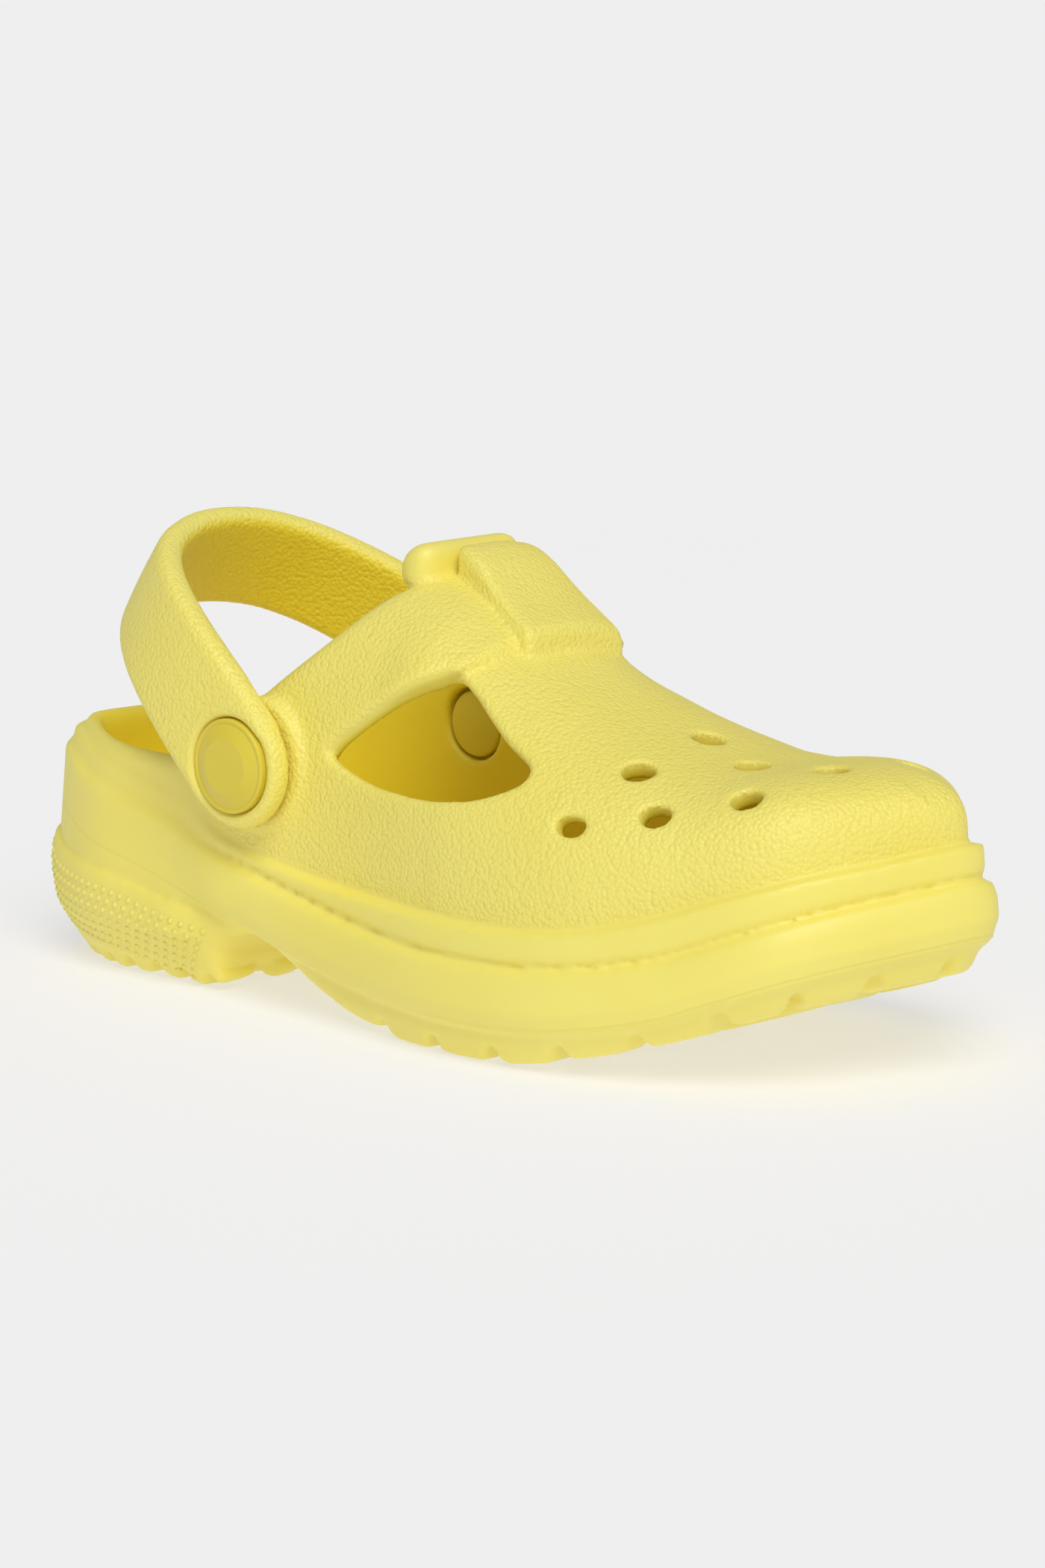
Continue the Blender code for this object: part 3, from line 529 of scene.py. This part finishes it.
def vent_field(grid):
    """Distance to the vent holes, which are flattened up the slope where the skin is steep."""
    f = np.full(tuple(len(a) for a in grid.axes), 20.0)
    for x, y in VENTS:
        p, n = skin_point(x, y)
        level = np.array((-n[1], n[0], 0)) / math.hypot(n[0], n[1])
        climb = np.cross(n, level)
        lows = [np.searchsorted(a, c - 12) for a, c in zip(grid.axes, p)]
        highs = [np.searchsorted(a, c + 12) for a, c in zip(grid.axes, p)]
        box = tuple(slice(a, b) for a, b in zip(lows, highs))
        dx = grid.x[box[0]] - p[0]
        dy = grid.y[:, box[1]] - p[1]
        dz = grid.z[:, :, box[2]] - p[2]
        u, v, w = (dx * d[0] + dy * d[1] + dz * d[2] for d in (level, climb, n))
        flat = 0.5 + 0.5 * n[2] ** 2
        radial = np.sqrt(u * u + (v / flat) ** 2)
        fall = radial / np.maximum(np.sqrt(u * u + (v / flat ** 2) ** 2), 1e-6)
        hole = np.maximum((radial - VENT_RADIUS) * np.minimum(fall, 1), np.abs(w) - 8)
        f[box] = np.minimum(f[box], hole)
    return f


def sole_field(grid):
    """The sole, with its ledges, groove and tread lugs."""
    z = grid.z
    plan, arc = polygon_distance(grid.x[:, :, 0], grid.y[:, :, 0], RING)
    inset = side_inset(grid)
    steep = np.sqrt(1 + np.gradient(inset, grid.cell, axis=1) ** 2)
    side = (plan[:, :, None] + inset[:, None, :]) / steep[:, None, :]
    tread = tread_z(grid.x)
    sole = smax(smax(side, z - upper_z(grid.x), 0.8), tread + TREAD_DEPTH - z, 1.2)
    slots = tread_slots(arc, -plan, grid.x[:, :, 0], grid.y[:, :, 0])[:, :, None]
    lugs = smax(smax(side, slots + SLOT_SLOPE * (tread + TREAD_DEPTH - z), 1.0), tread - z, 1.4)
    lugs = np.maximum(lugs, z - tread - TREAD_DEPTH - 2)
    return smin(sole, lugs, 0.6)


def upper_field(grid, dome):
    """The dome over the sole, with the instep strap raised on it."""
    x, z = grid.x, grid.z
    upper = np.maximum(dome, footbed_z(x) - 6 - z)
    edge = np.interp(grid.axes[2], *np.array(BAND_EDGE).T)[None, None, :]
    raised = smoothstep(50, 60, z) * smoothstep(0.7, -0.7, x - edge) * smoothstep(-60, -40, x)
    return upper - BAND_RAISE * raised * smoothstep(-8, 4, x)


def collar_field(grid):
    """Distance to the open space over the collar rim (negative inside)."""
    x = grid.x
    cut = np.vstack([smooth_path(COLLAR, 5), [(40, 130), (-150, 130), (-150, 47.5)]])
    raised = RIM_RAISE * smoothstep(*RIM_X, x)
    raised = raised + (FAR_RIM_RAISE * smoothstep(*FAR_RIM_REAR, x) * smoothstep(*FAR_RIM_FRONT, x)
                       * smoothstep(*FAR_RIM_Y, grid.y))
    return side_distance(grid, cut) + raised


def loop_field(grid, dome):
    """The keeper loop over the instep strap."""
    x, y = grid.x, grid.y
    ends = np.array(LOOP_Y)
    near = np.interp(grid.axes[0], *ends[:, :2].T)[:, None, None]
    far = np.interp(grid.axes[0], *ends[:, [0, 2]].T)[:, None, None]
    top = LOOP_RAISE + LOOP_REAR_RAISE * smoothstep(9, LOOP_X[0], x)
    loop = smax(dome - top, np.maximum(near - y, y - far), 1.8)
    loop = smax(loop, np.maximum(x - LOOP_X[1], LOOP_X[0] - x), 1.6)
    return np.maximum(loop, -(dome + 1.5))


def tab_field(grid):
    """The raised tab behind the keeper loop."""
    tab = side_distance(grid, smooth_path(TAB + TAB[:1], 5)[:-1])
    return smax(tab, np.maximum(TAB_Y[0] - grid.y, grid.y - TAB_Y[1]), 4.0)


def shell_field(grid):
    """The whole moulded shell as one field, then its outer skin alone and the keeper loop alone."""
    x, y, z = grid.x, grid.y, grid.z
    dome, gauge = dome_field(grid)
    turn = np.sqrt((x - HINGE_X) ** 2 + (z - HINGE_Z) ** 2)
    pad = np.maximum(smax(turn - PAD_RADIUS, np.abs(y) - PAD_Y, 0.8), PAD_INNER_Y - np.abs(y))
    outer = smin(smin(sole_field(grid), upper_field(grid, dome), 1.0), pad, 1.2)
    relief = np.maximum(turn - PAD_RADIUS - PAD_RELIEF, PAD_Y - np.abs(y))
    outer = smax(outer, -relief, 0.8)

    floor = footbed_z(x) + FOOTBED_CUP * np.minimum(gauge, 1.2)[:, :, None] ** 4
    cavity = smax(dome + WALL, floor - z, 6.0)
    f = smax(outer, -cavity, 1.0)
    f = smax(f, -collar_field(grid), 3.4)
    loop = loop_field(grid, dome)
    f = smin(f, loop, 0.5)
    f = smin(f, tab_field(grid), 0.5)

    windows = smin(window_field(grid, -1), window_field(grid, 1), 0.5)
    f = smax(f, -windows, 2.2)
    f = smax(f, -vent_field(grid), 0.9)
    f = smax(f, -side_distance(grid, np.array(ARCH, float)) - ARCH_OFFSET, 4.0)
    seat = np.maximum(turn - SEAT_RADIUS, np.abs(y) - SEAT_Y)
    seat = np.maximum(seat, BORE_INNER_Y - np.abs(y))
    f = smax(f, -seat, 0.5)
    bore = np.maximum(turn - BORE_RADIUS, BORE_INNER_Y - np.abs(y))
    return np.maximum(f, -bore), outer, loop


def build_shell():
    """The shell's mesh, with where it is grained, its parting line and its inside, where shade is
    painted, as attributes.
    """
    grid = Grid(SHELL_LOW, SHELL_HIGH, CELL)
    f, outer, loop = shell_field(grid)
    verts, quads = mesh_field(f, grid.origin, CELL)
    from_skin = sample(outer, grid.origin, CELL, verts)[0]
    from_loop = sample(loop, grid.origin, CELL, verts)[0]
    x, z = verts[:, 0], verts[:, 2]
    grain = smoothstep(1.0, 0.35, np.minimum(np.abs(from_skin), np.abs(from_loop)))
    grain = grain * smoothstep(-50, -37, x)
    grain *= smoothstep(-0.2, 0.8, z - upper_z(x) - 0.4)
    seam = z - (groove_z(x) - SIDE_DROP - SEAM_DROP)
    # painted shade mask: 1 on surfaces a few mm in from the outer skin, fading out under the footbed
    inside = smoothstep(0.8, 3.2, -from_skin)
    inside *= smoothstep(0.5, 4.0, z - footbed_z(x) + 4)
    return to_object("clog_foam", verts, quads,
                     (("grain", grain), ("seam", seam), ("inside", inside)))


def build_dots(tree):
    """Rows of small raised dots on the heel block, under its ledge."""
    step = np.linalg.norm(np.diff(RING, axis=0, append=RING[:1]), axis=1)
    arc = np.concatenate([[0], np.cumsum(step)[:-1]])
    total = step.sum()
    bm = bmesh.new()
    for row in range(DOT_ROWS):
        for k in range(-DOT_COUNT, DOT_COUNT + 1):
            s = (k + 0.5 * (row % 2)) * DOT_PITCH
            at = s % total
            x, y = (float(np.interp(at, arc, RING[:, i], period=total)) for i in (0, 1))
            nx, ny = (float(np.interp(at, arc, RING_NORMAL[:, i], period=total)) for i in (0, 1))
            z = float(block_z(x)) - DOT_TOP - row * DOT_DROP
            if x > DOT_END - DOT_END_SHIFT * row:
                continue
            start = Vector((x + 8 * nx, y + 8 * ny, z)) * MM
            point, normal = tree.ray_cast(start, Vector((-nx, -ny, 0)))[:2]
            if point is None:
                continue
            turn = normal.to_track_quat("Z", "Y").to_matrix()
            rings = []
            for share, h in DOT_RINGS:
                r = DOT_RADIUS * share
                rings.append([bm.verts.new(point + turn @ (Vector((
                    r * math.cos(a), r * math.sin(a), h)) * MM))
                    for a in np.arange(8) * math.pi / 4])
            top = bm.verts.new(point + turn @ Vector((0, 0, DOT_HEIGHT * MM)))
            for i in range(8):
                j = (i + 1) % 8
                for low, high in zip(rings, rings[1:]):
                    bm.faces.new((low[i], low[j], high[j], high[i]))
                bm.faces.new((rings[2][i], rings[2][j], top))
            bm.faces.new(rings[0][::-1])
    mesh = bpy.data.meshes.new("heel_dots")
    bm.to_mesh(mesh)
    bm.free()
    mesh.shade_smooth()
    for name in ("grain", "seam", "inside"):
        mesh.attributes.new(name, "FLOAT", "POINT")
    seam = np.full(len(mesh.vertices), 9.0, dtype=np.float32)
    mesh.attributes["seam"].data.foreach_set("value", seam)
    ob = bpy.data.objects.new("heel_dots", mesh)
    bpy.context.collection.objects.link(ob)
    return ob


# ---------------------------------------------------------------- heel strap
def strap_frames(steps=150):
    """Centre line, outward normal and width direction of the strap, in mm."""
    lug_y = PAD_Y + GAP + LUG_THICK / 2
    t = np.linspace(0, math.pi, 401)
    run = LUG_RADIUS * 0.45
    x = -run - (STRAP_REACH - run) * np.sin(t) ** (2 / STRAP_POWER)
    y = -lug_y * np.sign(np.cos(t)) * np.abs(np.cos(t)) ** (2 / STRAP_POWER)
    plan = np.c_[np.r_[0.0, x, 0.0], np.r_[-lug_y, y, lug_y]]
    arc = np.r_[0, np.cumsum(np.linalg.norm(np.diff(plan, axis=0), axis=1))]
    even = np.linspace(0, arc[-1], steps + 1)
    plan = np.c_[np.interp(even, arc, plan[:, 0]), np.interp(even, arc, plan[:, 1])]
    tangent = np.gradient(plan, axis=0)
    tangent[0], tangent[-1] = (-1, 0), (1, 0)
    tangent /= np.linalg.norm(tangent, axis=1)[:, None]
    normal = np.c_[tangent[:, 1], -tangent[:, 0]]
    if normal[steps // 2, 0] > 0:
        normal = -normal
    u = 1 - np.abs(2 * even / even[-1] - 1)
    half = steps // 2
    climb = np.tan(math.radians(STRAP_SLOPE) * (1 - u) ** 1.25)
    height = np.r_[0.0, np.cumsum((climb[1:] + climb[:-1]) / 2 * np.diff(even))]
    height[half:] = height[:half + 1][::-1]
    height *= STRAP_RISE / height.max()
    inner = np.clip((2 * even / even[-1] - 0.65) / 1.35, 0, 1)
    height -= STRAP_SAG * np.sin(math.pi * inner ** 1.85) ** 2
    lift = np.gradient(height, even)
    lift[0], lift[-1] = lift[1], lift[-2]
    along = np.c_[tangent, lift]
    along /= np.linalg.norm(along, axis=1)[:, None]
    flat = np.c_[normal, np.zeros(len(normal))]
    wide = np.cross(along, flat)
    wide[wide[:, 2] < 0] *= -1
    lean = math.radians(STRAP_LEAN) * np.clip(u * 1.3, 0, 1)[:, None]
    wide = wide * np.cos(lean) - flat * np.sin(lean)
    out = np.cross(wide, along)
    out[(out * flat).sum(1) < 0] *= -1
    width = STRAP_WIDTH[0] + (STRAP_WIDTH[1] - STRAP_WIDTH[0]) * np.clip(u * 1.6, 0, 1)
    centre = np.c_[HINGE_X + plan[:, 0], plan[:, 1], HINGE_Z + height]
    return centre, along, out, wide, width


def strap_field(grid):
    """Rounded band swept along the strap's path, with its two lugs."""
    centre, along, out, wide, width = strap_frames()
    gx, gy, gz = np.broadcast_arrays(grid.x, grid.y, grid.z)
    pts = np.c_[gx.ravel(), gy.ravel(), gz.ravel()]
    f = np.full(len(pts), 9.0)
    coarse = np.full(len(pts), 1e9)
    for c in centre[::6]:
        np.minimum(coarse, ((pts - c) ** 2).sum(1), out=coarse)
    near = np.flatnonzero(coarse < 19.0 ** 2)
    spacing = np.linalg.norm(centre[1] - centre[0])
    for start in range(0, len(near), 16384):
        ids = near[start:start + 16384]
        p = pts[ids]
        d = ((p[:, None, :] - centre[None]) ** 2).sum(2)
        i = d.argmin(1)
        a = ((p - centre[i]) * along[i]).sum(1)
        j = np.clip(i + np.sign(a).astype(int), 0, len(centre) - 1)
        t = np.clip(np.abs(a) / spacing, 0, 1)[:, None]
        c = centre[i] * (1 - t) + centre[j] * t
        w = wide[i] * (1 - t) + wide[j] * t
        n = out[i] * (1 - t) + out[j] * t
        size = width[i] * (1 - t[:, 0]) + width[j] * t[:, 0]
        across = ((p - c) * w).sum(1)
        through = ((p - c) * n).sum(1)
        beyond = np.where((i == 0) | (i == len(centre) - 1), np.abs(a), 0.0)
        crown = STRAP_CROWN * (1 - (2 * across / size) ** 2)
        qa = np.abs(across) - size / 2 + STRAP_CORNER
        qb = np.abs(through) - STRAP_THICK / 2 - crown * (through > 0) + STRAP_CORNER
        box = (np.hypot(np.maximum(qa, 0), np.maximum(qb, 0))
               + np.minimum(np.maximum(qa, qb), 0) - STRAP_CORNER)
        f[ids] = np.where(i * (len(centre) - 1 - i) > 0, box, np.maximum(box, beyond))
    f = f.reshape(gx.shape)
    x, y, z = grid.x, grid.y, grid.z
    turn = np.sqrt((x - HINGE_X) ** 2 + (z - HINGE_Z) ** 2)
    inner, top = PAD_Y + GAP, PAD_Y + GAP + LUG_THICK
    slab = np.abs(np.abs(y) - (inner + top) / 2) - LUG_THICK / 2
    lug = smax(turn - LUG_RADIUS, slab, 2.6)
    f = smin(f, lug, 1.2)
    f = smax(f, -np.maximum(turn - PAD_RADIUS - STRAP_CLEAR, np.abs(y) - inner), 0.8)
    recess = np.maximum(turn - RECESS_RADIUS, top - RECESS_DEPTH - np.abs(y))
    f = smax(f, -recess, 0.7)
    return np.maximum(f, -np.maximum(turn - BORE_RADIUS, BORE_INNER_Y - np.abs(y)))


def strap_inside(points):
    """1 on the face of the strap that lies against the heel, 0 on its outer face; the material paints
    shade there.
    """
    centre, _, out = strap_frames()[:3]
    through = np.empty(len(points))
    for start in range(0, len(points), 16384):
        p = points[start:start + 16384]
        i = ((p[:, None, :] - centre[None]) ** 2).sum(2).argmin(1)
        through[start:start + 16384] = ((p - centre[i]) * out[i]).sum(1)
    return smoothstep(-1.2, -2.3, through)


def build_strap():
    """The strap's mesh, smooth round the rivet heads and grained elsewhere, with painted shade on its
    inner face.
    """
    low, high = (np.array(c) * 1000 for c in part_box("heel_strap"))
    grid = Grid(low - 2.5, high + 2.5, STRAP_CELL)
    f = blur(strap_field(grid))
    verts, quads = mesh_field(f, grid.origin, STRAP_CELL)
    turn = np.hypot(verts[:, 0] - HINGE_X, verts[:, 2] - HINGE_Z)
    grain = smoothstep(RECESS_RADIUS + 0.4, RECESS_RADIUS + 1.4, turn)
    # painted shade mask on the face turned towards the heel
    inside = strap_inside(verts)
    return to_object("heel_strap_foam", verts, quads,
                     (("grain", grain), ("seam", np.full(len(verts), 9.0)), ("inside", inside)))


# ---------------------------------------------------------------- rivets
def lathe(name, outline, side, segments=96):
    """Body turned about the hinge axis; outline is (radius, distance outward from y = 0) in mm."""
    bm = bmesh.new()
    rings = []
    for r, d in outline:
        if r < 1e-6:
            rings.append([bm.verts.new((HINGE_X * MM, side * d * MM, HINGE_Z * MM))])
            continue
        ring = []
        for k in range(segments):
            a = 2 * math.pi * k / segments
            ring.append(bm.verts.new(((HINGE_X + r * math.cos(a)) * MM, side * d * MM,
                                      (HINGE_Z + r * math.sin(a)) * MM)))
        rings.append(ring)
    for low, high in zip(rings, rings[1:]):
        for k in range(segments):
            n = (k + 1) % segments
            face = [low[k % len(low)], low[n % len(low)], high[n % len(high)], high[k % len(high)]]
            bm.faces.new([v for i, v in enumerate(face) if v not in face[:i]])
    bmesh.ops.recalc_face_normals(bm, faces=bm.faces)
    mesh = bpy.data.meshes.new(name)
    bm.to_mesh(mesh)
    bm.free()
    mesh.shade_smooth()
    mesh.set_sharp_from_angle(angle=math.radians(14))
    ob = bpy.data.objects.new(name, mesh)
    bpy.context.collection.objects.link(ob)
    return ob


def build_rivets(side, tag):
    """One rivet: its head with the stem, and the disc that locks on inside the shell."""
    seat = PAD_Y + GAP + LUG_THICK - RECESS_DEPTH + GAP
    top = PAD_Y + GAP + LUG_THICK + HEAD_PROUD
    disc_out = SEAT_Y - GAP
    disc_in = disc_out - BACK_THICK
    tip = disc_in + 1.1
    cap = lathe(f"rivet_head_{tag}", (
        (0, tip), (TIP_RADIUS, tip), (TIP_RADIUS, disc_out + 0.2), (STEM_RADIUS, disc_out + 0.2),
        (STEM_RADIUS, seat), (HEAD_RADIUS - 0.2, seat), (HEAD_RADIUS, seat + 0.2),
        (HEAD_RADIUS, top - 1.2), (HEAD_RADIUS - 0.12, top - 0.95), (HEAD_RADIUS - 0.35, top - 0.85),
        (HEAD_RADIUS - 0.65, top - 0.9), (HEAD_RADIUS - 0.85, top - 1.05),
        (HEAD_RADIUS - 1.1, top - 0.95), (HEAD_FLAT + 0.1, top - 0.06), (HEAD_FLAT - 0.1, top),
        (0, top)), side)
    back = lathe(f"rivet_disc_{tag}", (
        (0, disc_in + 0.8), (TIP_RADIUS + 0.25, disc_in + 0.8), (TIP_RADIUS + 0.25, disc_out),
        (BACK_RADIUS - 0.2, disc_out), (BACK_RADIUS, disc_out - 0.2), (BACK_RADIUS, disc_in + 0.6),
        (BACK_RADIUS - 0.2, disc_in + 0.18), (BACK_RADIUS - 0.6, disc_in), (0, disc_in)), side)
    return cap, back


# ---------------------------------------------------------------- materials
# tones are 0-255 sRGB; each pair is what slow noise wanders between
FOAM_TONES = ((247, 231, 104), (250, 236, 116))
PAINTED_SHADE_TONE, PAINTED_SHADE_SHARE = (252, 230, 34), 0.85   # painted shade: deeper amber of light bounced round inside the shoe and on the strap's inner face
RIVET_TONES = ((224, 204, 60), (229, 210, 70))
FLOOR_TONES = ((181, 177, 168), (182, 178, 169))
FLOOR_GLOW = (0.50, 0.515, 0.55, 1.0)


def srgb(r, g, b):
    """Colour typed as 0-255 sRGB, as linear values."""
    out = []
    for c in (r, g, b):
        c /= 255
        out.append(c / 12.92 if c <= 0.04045 else ((c + 0.055) / 1.055) ** 2.4)
    return (*out, 1.0)


class Nodes:
    """Small helper that adds and links shader nodes."""

    def __init__(self, name):
        self.mat = bpy.data.materials.new(name)
        self.mat.use_nodes = True
        self.tree = self.mat.node_tree
        self.shader = self.tree.nodes["Principled BSDF"]
        self.coord = self.add("ShaderNodeTexCoord").outputs["Object"]

    def add(self, kind, **values):
        node = self.tree.nodes.new(kind)
        for key, value in values.items():
            if hasattr(node, key):
                setattr(node, key, value)
            else:
                node.inputs[key.replace("_", " ")].default_value = value
        return node

    def link(self, a, b):
        self.tree.links.new(a, b)

    def math(self, operation, *values):
        node = self.tree.nodes.new("ShaderNodeMath")
        node.operation = operation
        for slot, value in zip(node.inputs, values):
            if isinstance(value, (int, float)):
                slot.default_value = value
            else:
                self.link(value, slot)
        return node.outputs[0]

    def noise(self, scale, detail):
        node = self.add("ShaderNodeTexNoise", Scale=scale, Detail=detail)
        self.link(self.coord, node.inputs["Vector"])
        return node.outputs["Fac"]

    def tones(self, scale, pair):
        """Colour that wanders between a pair of tones with noise."""
        noise = self.noise(scale, 2.0)
        node = self.tree.nodes.new("ShaderNodeValToRGB")
        self.link(noise, node.inputs["Fac"])
        for element, place, tone in zip(node.color_ramp.elements, (0.3, 0.7), pair):
            element.position = place
            element.color = srgb(*tone)
        return node.outputs["Color"]

    def attribute(self, name):
        node = self.tree.nodes.new("ShaderNodeAttribute")
        node.attribute_name = name
        return node.outputs["Fac"]

    def bump(self, height, strength, distance):
        node = self.add("ShaderNodeBump", Strength=strength, Distance=distance)
        self.link(height, node.inputs["Height"])
        return node.outputs["Normal"]


def foam_material(name):
    """Soft closed-cell foam: pebbled where the mould is grained, smooth elsewhere, with painted shade
    as a deeper amber inside the shoe.
    """
    n = Nodes(name)
    colour = n.tones(28.0, FOAM_TONES)
    # painted shade: the inside mask mixes in a deeper amber for light bounced round the cavity
    painted_shade = n.add("ShaderNodeMix", data_type="RGBA")
    n.link(n.math("MULTIPLY", n.attribute("inside"), PAINTED_SHADE_SHARE), painted_shade.inputs["Factor"])
    n.link(colour, painted_shade.inputs[6])
    painted_shade.inputs[7].default_value = srgb(*PAINTED_SHADE_TONE)
    n.link(painted_shade.outputs[2], n.shader.inputs["Base Color"])
    n.shader.inputs["Subsurface Weight"].default_value = 0.2
    n.shader.inputs["Subsurface Radius"].default_value = (1.0, 0.8, 0.25)
    n.shader.inputs["Subsurface Scale"].default_value = 0.003
    n.shader.inputs["Specular IOR Level"].default_value = 0.85
    grain = n.attribute("grain")
    n.link(n.math("MULTIPLY_ADD", n.noise(900.0, 2.0), 0.12, 0.48), n.shader.inputs["Roughness"])
    wobble = n.add("ShaderNodeTexNoise", Scale=420.0, Detail=2.0)
    n.link(n.coord, wobble.inputs["Vector"])
    shift = n.add("ShaderNodeVectorMath", operation="MULTIPLY_ADD")
    n.link(wobble.outputs["Color"], shift.inputs[0])
    shift.inputs[1].default_value = (0.0004, 0.0004, 0.0004)
    n.link(n.coord, shift.inputs[2])
    cells = n.add("ShaderNodeTexVoronoi", feature="F1", Scale=1250.0)
    n.link(shift.outputs[0], cells.inputs["Vector"])
    pebble = n.math("SUBTRACT", 1.0, n.math("POWER", cells.outputs["Distance"], 1.6))
    pebble = n.math("MULTIPLY", pebble, grain)
    fine = n.math("MULTIPLY", n.noise(2600.0, 3.0), 0.06)
    seam = n.math("MULTIPLY", n.attribute("seam"), 3.2)
    seam = n.math("POWER", 2.718, n.math("MULTIPLY", n.math("MULTIPLY", seam, seam), -1.0))
    height = n.math("SUBTRACT", n.math("ADD", pebble, fine), n.math("MULTIPLY", seam, 0.5))
    n.link(n.bump(height, 0.9, 0.00026), n.shader.inputs["Normal"])
    return n.mat


def rivet_material():
    """Smooth satin moulded foam of the rivets."""
    n = Nodes("rivet_foam")
    n.link(n.tones(60.0, RIVET_TONES), n.shader.inputs["Base Color"])
    n.shader.inputs["Specular IOR Level"].default_value = 0.5
    n.link(n.math("MULTIPLY_ADD", n.noise(1500.0, 2.0), 0.1, 0.28), n.shader.inputs["Roughness"])
    n.link(n.bump(n.noise(3000.0, 2.0), 0.15, 0.0001), n.shader.inputs["Normal"])
    return n.mat


def floor_material():
    """Plain pale floor with a little glow of its own, which keeps its shadow faint."""
    n = Nodes("studio_floor")
    n.link(n.tones(3.0, FLOOR_TONES), n.shader.inputs["Base Color"])
    n.shader.inputs["Roughness"].default_value = 0.9
    n.shader.inputs["Emission Color"].default_value = FLOOR_GLOW
    n.shader.inputs["Emission Strength"].default_value = 1.0
    n.shader.inputs["Specular IOR Level"].default_value = 0.1
    return n.mat


# ---------------------------------------------------------------- studio
VIEW_AZIMUTH, VIEW_ELEVATION = 43.0, 12.0
VIEW_DISTANCE = 1.1
VIEW_LENS, VIEW_SENSOR = 93.03, 24.0
AIM_RIGHT, AIM_UP = 0.0012, 0.0399         # where the middle of the frame lies beside the origin
FLOOR_RADIUS = 14.0
KEY_DIRECTION, KEY_ANGLE, KEY_STRENGTH = (0.55, -0.42, 0.75), 36, 1.75
SKY_TONE, SKY_STRENGTH = (252, 252, 255), 0.38


def build_floor():
    floor = bpy.data.meshes.new("floor")
    bm = bmesh.new()
    bmesh.ops.create_circle(bm, cap_ends=True, segments=64, radius=FLOOR_RADIUS)
    bm.to_mesh(floor)
    bm.free()
    floor_ob = bpy.data.objects.new("floor", floor)
    floor_ob.location.z = -0.0002
    bpy.context.collection.objects.link(floor_ob)
    floor.materials.append(floor_material())


def build_camera():
    """Camera at the photo's viewing angle."""
    a, e = math.radians(VIEW_AZIMUTH), math.radians(VIEW_ELEVATION)
    back = Vector((math.sin(a) * math.cos(e), -math.cos(a) * math.cos(e), math.sin(e)))
    right = Vector((math.cos(a), math.sin(a), 0))
    up = back.cross(right)
    cam = bpy.data.cameras.new("camera")
    cam.sensor_fit = "VERTICAL"
    cam.sensor_height = VIEW_SENSOR
    cam.lens = VIEW_LENS
    cam.clip_end = 100
    cam_ob = bpy.data.objects.new("camera", cam)
    cam_ob.location = back * VIEW_DISTANCE
    aim = right * AIM_RIGHT + up * AIM_UP
    cam_ob.rotation_euler = (cam_ob.location - aim).to_track_quat("Z", "Y").to_euler()
    bpy.context.collection.objects.link(cam_ob)
    bpy.context.scene.camera = cam_ob


def build_light():
    """One wide sun for the key and an even sky."""
    light = bpy.data.lights.new("key", "SUN")
    light.angle = math.radians(KEY_ANGLE)
    light.energy = KEY_STRENGTH
    light_ob = bpy.data.objects.new("key", light)
    light_ob.rotation_euler = Vector(KEY_DIRECTION).to_track_quat("Z", "Y").to_euler()
    bpy.context.collection.objects.link(light_ob)
    world = bpy.data.worlds.new("studio")
    world.use_nodes = True
    world.node_tree.nodes["Background"].inputs["Color"].default_value = srgb(*SKY_TONE)
    world.node_tree.nodes["Background"].inputs["Strength"].default_value = SKY_STRENGTH
    bpy.context.scene.world = world
    bpy.context.scene.view_settings.view_transform = "Standard"


def dress(ob, material, body, node):
    """Give a piece its material, the body it rides on and the CAD node that it replaces."""
    ob.data.materials.clear()
    ob.data.materials.append(material)
    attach(ob, body)
    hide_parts(node)


def main():
    build_floor()
    build_camera()
    build_light()
    shell = build_shell()
    shell_foam = foam_material("foam_of_shell")
    dress(shell, shell_foam, "shell", "clog_shell")
    surface = BVHTree.FromObject(shell, bpy.context.evaluated_depsgraph_get())
    dress(build_dots(surface), shell_foam, "shell", "clog_shell")
    dress(build_strap(), foam_material("foam_of_strap"), "strap", "heel_strap")
    rivet = rivet_material()
    for side, tag in ((-1, "right"), (1, "left")):
        cap, back = build_rivets(side, tag)
        dress(cap, rivet, f"rivet_{tag}", f"rivet_cap_{tag}")
        dress(back, rivet, f"rivet_{tag}", f"rivet_back_{tag}")


main()
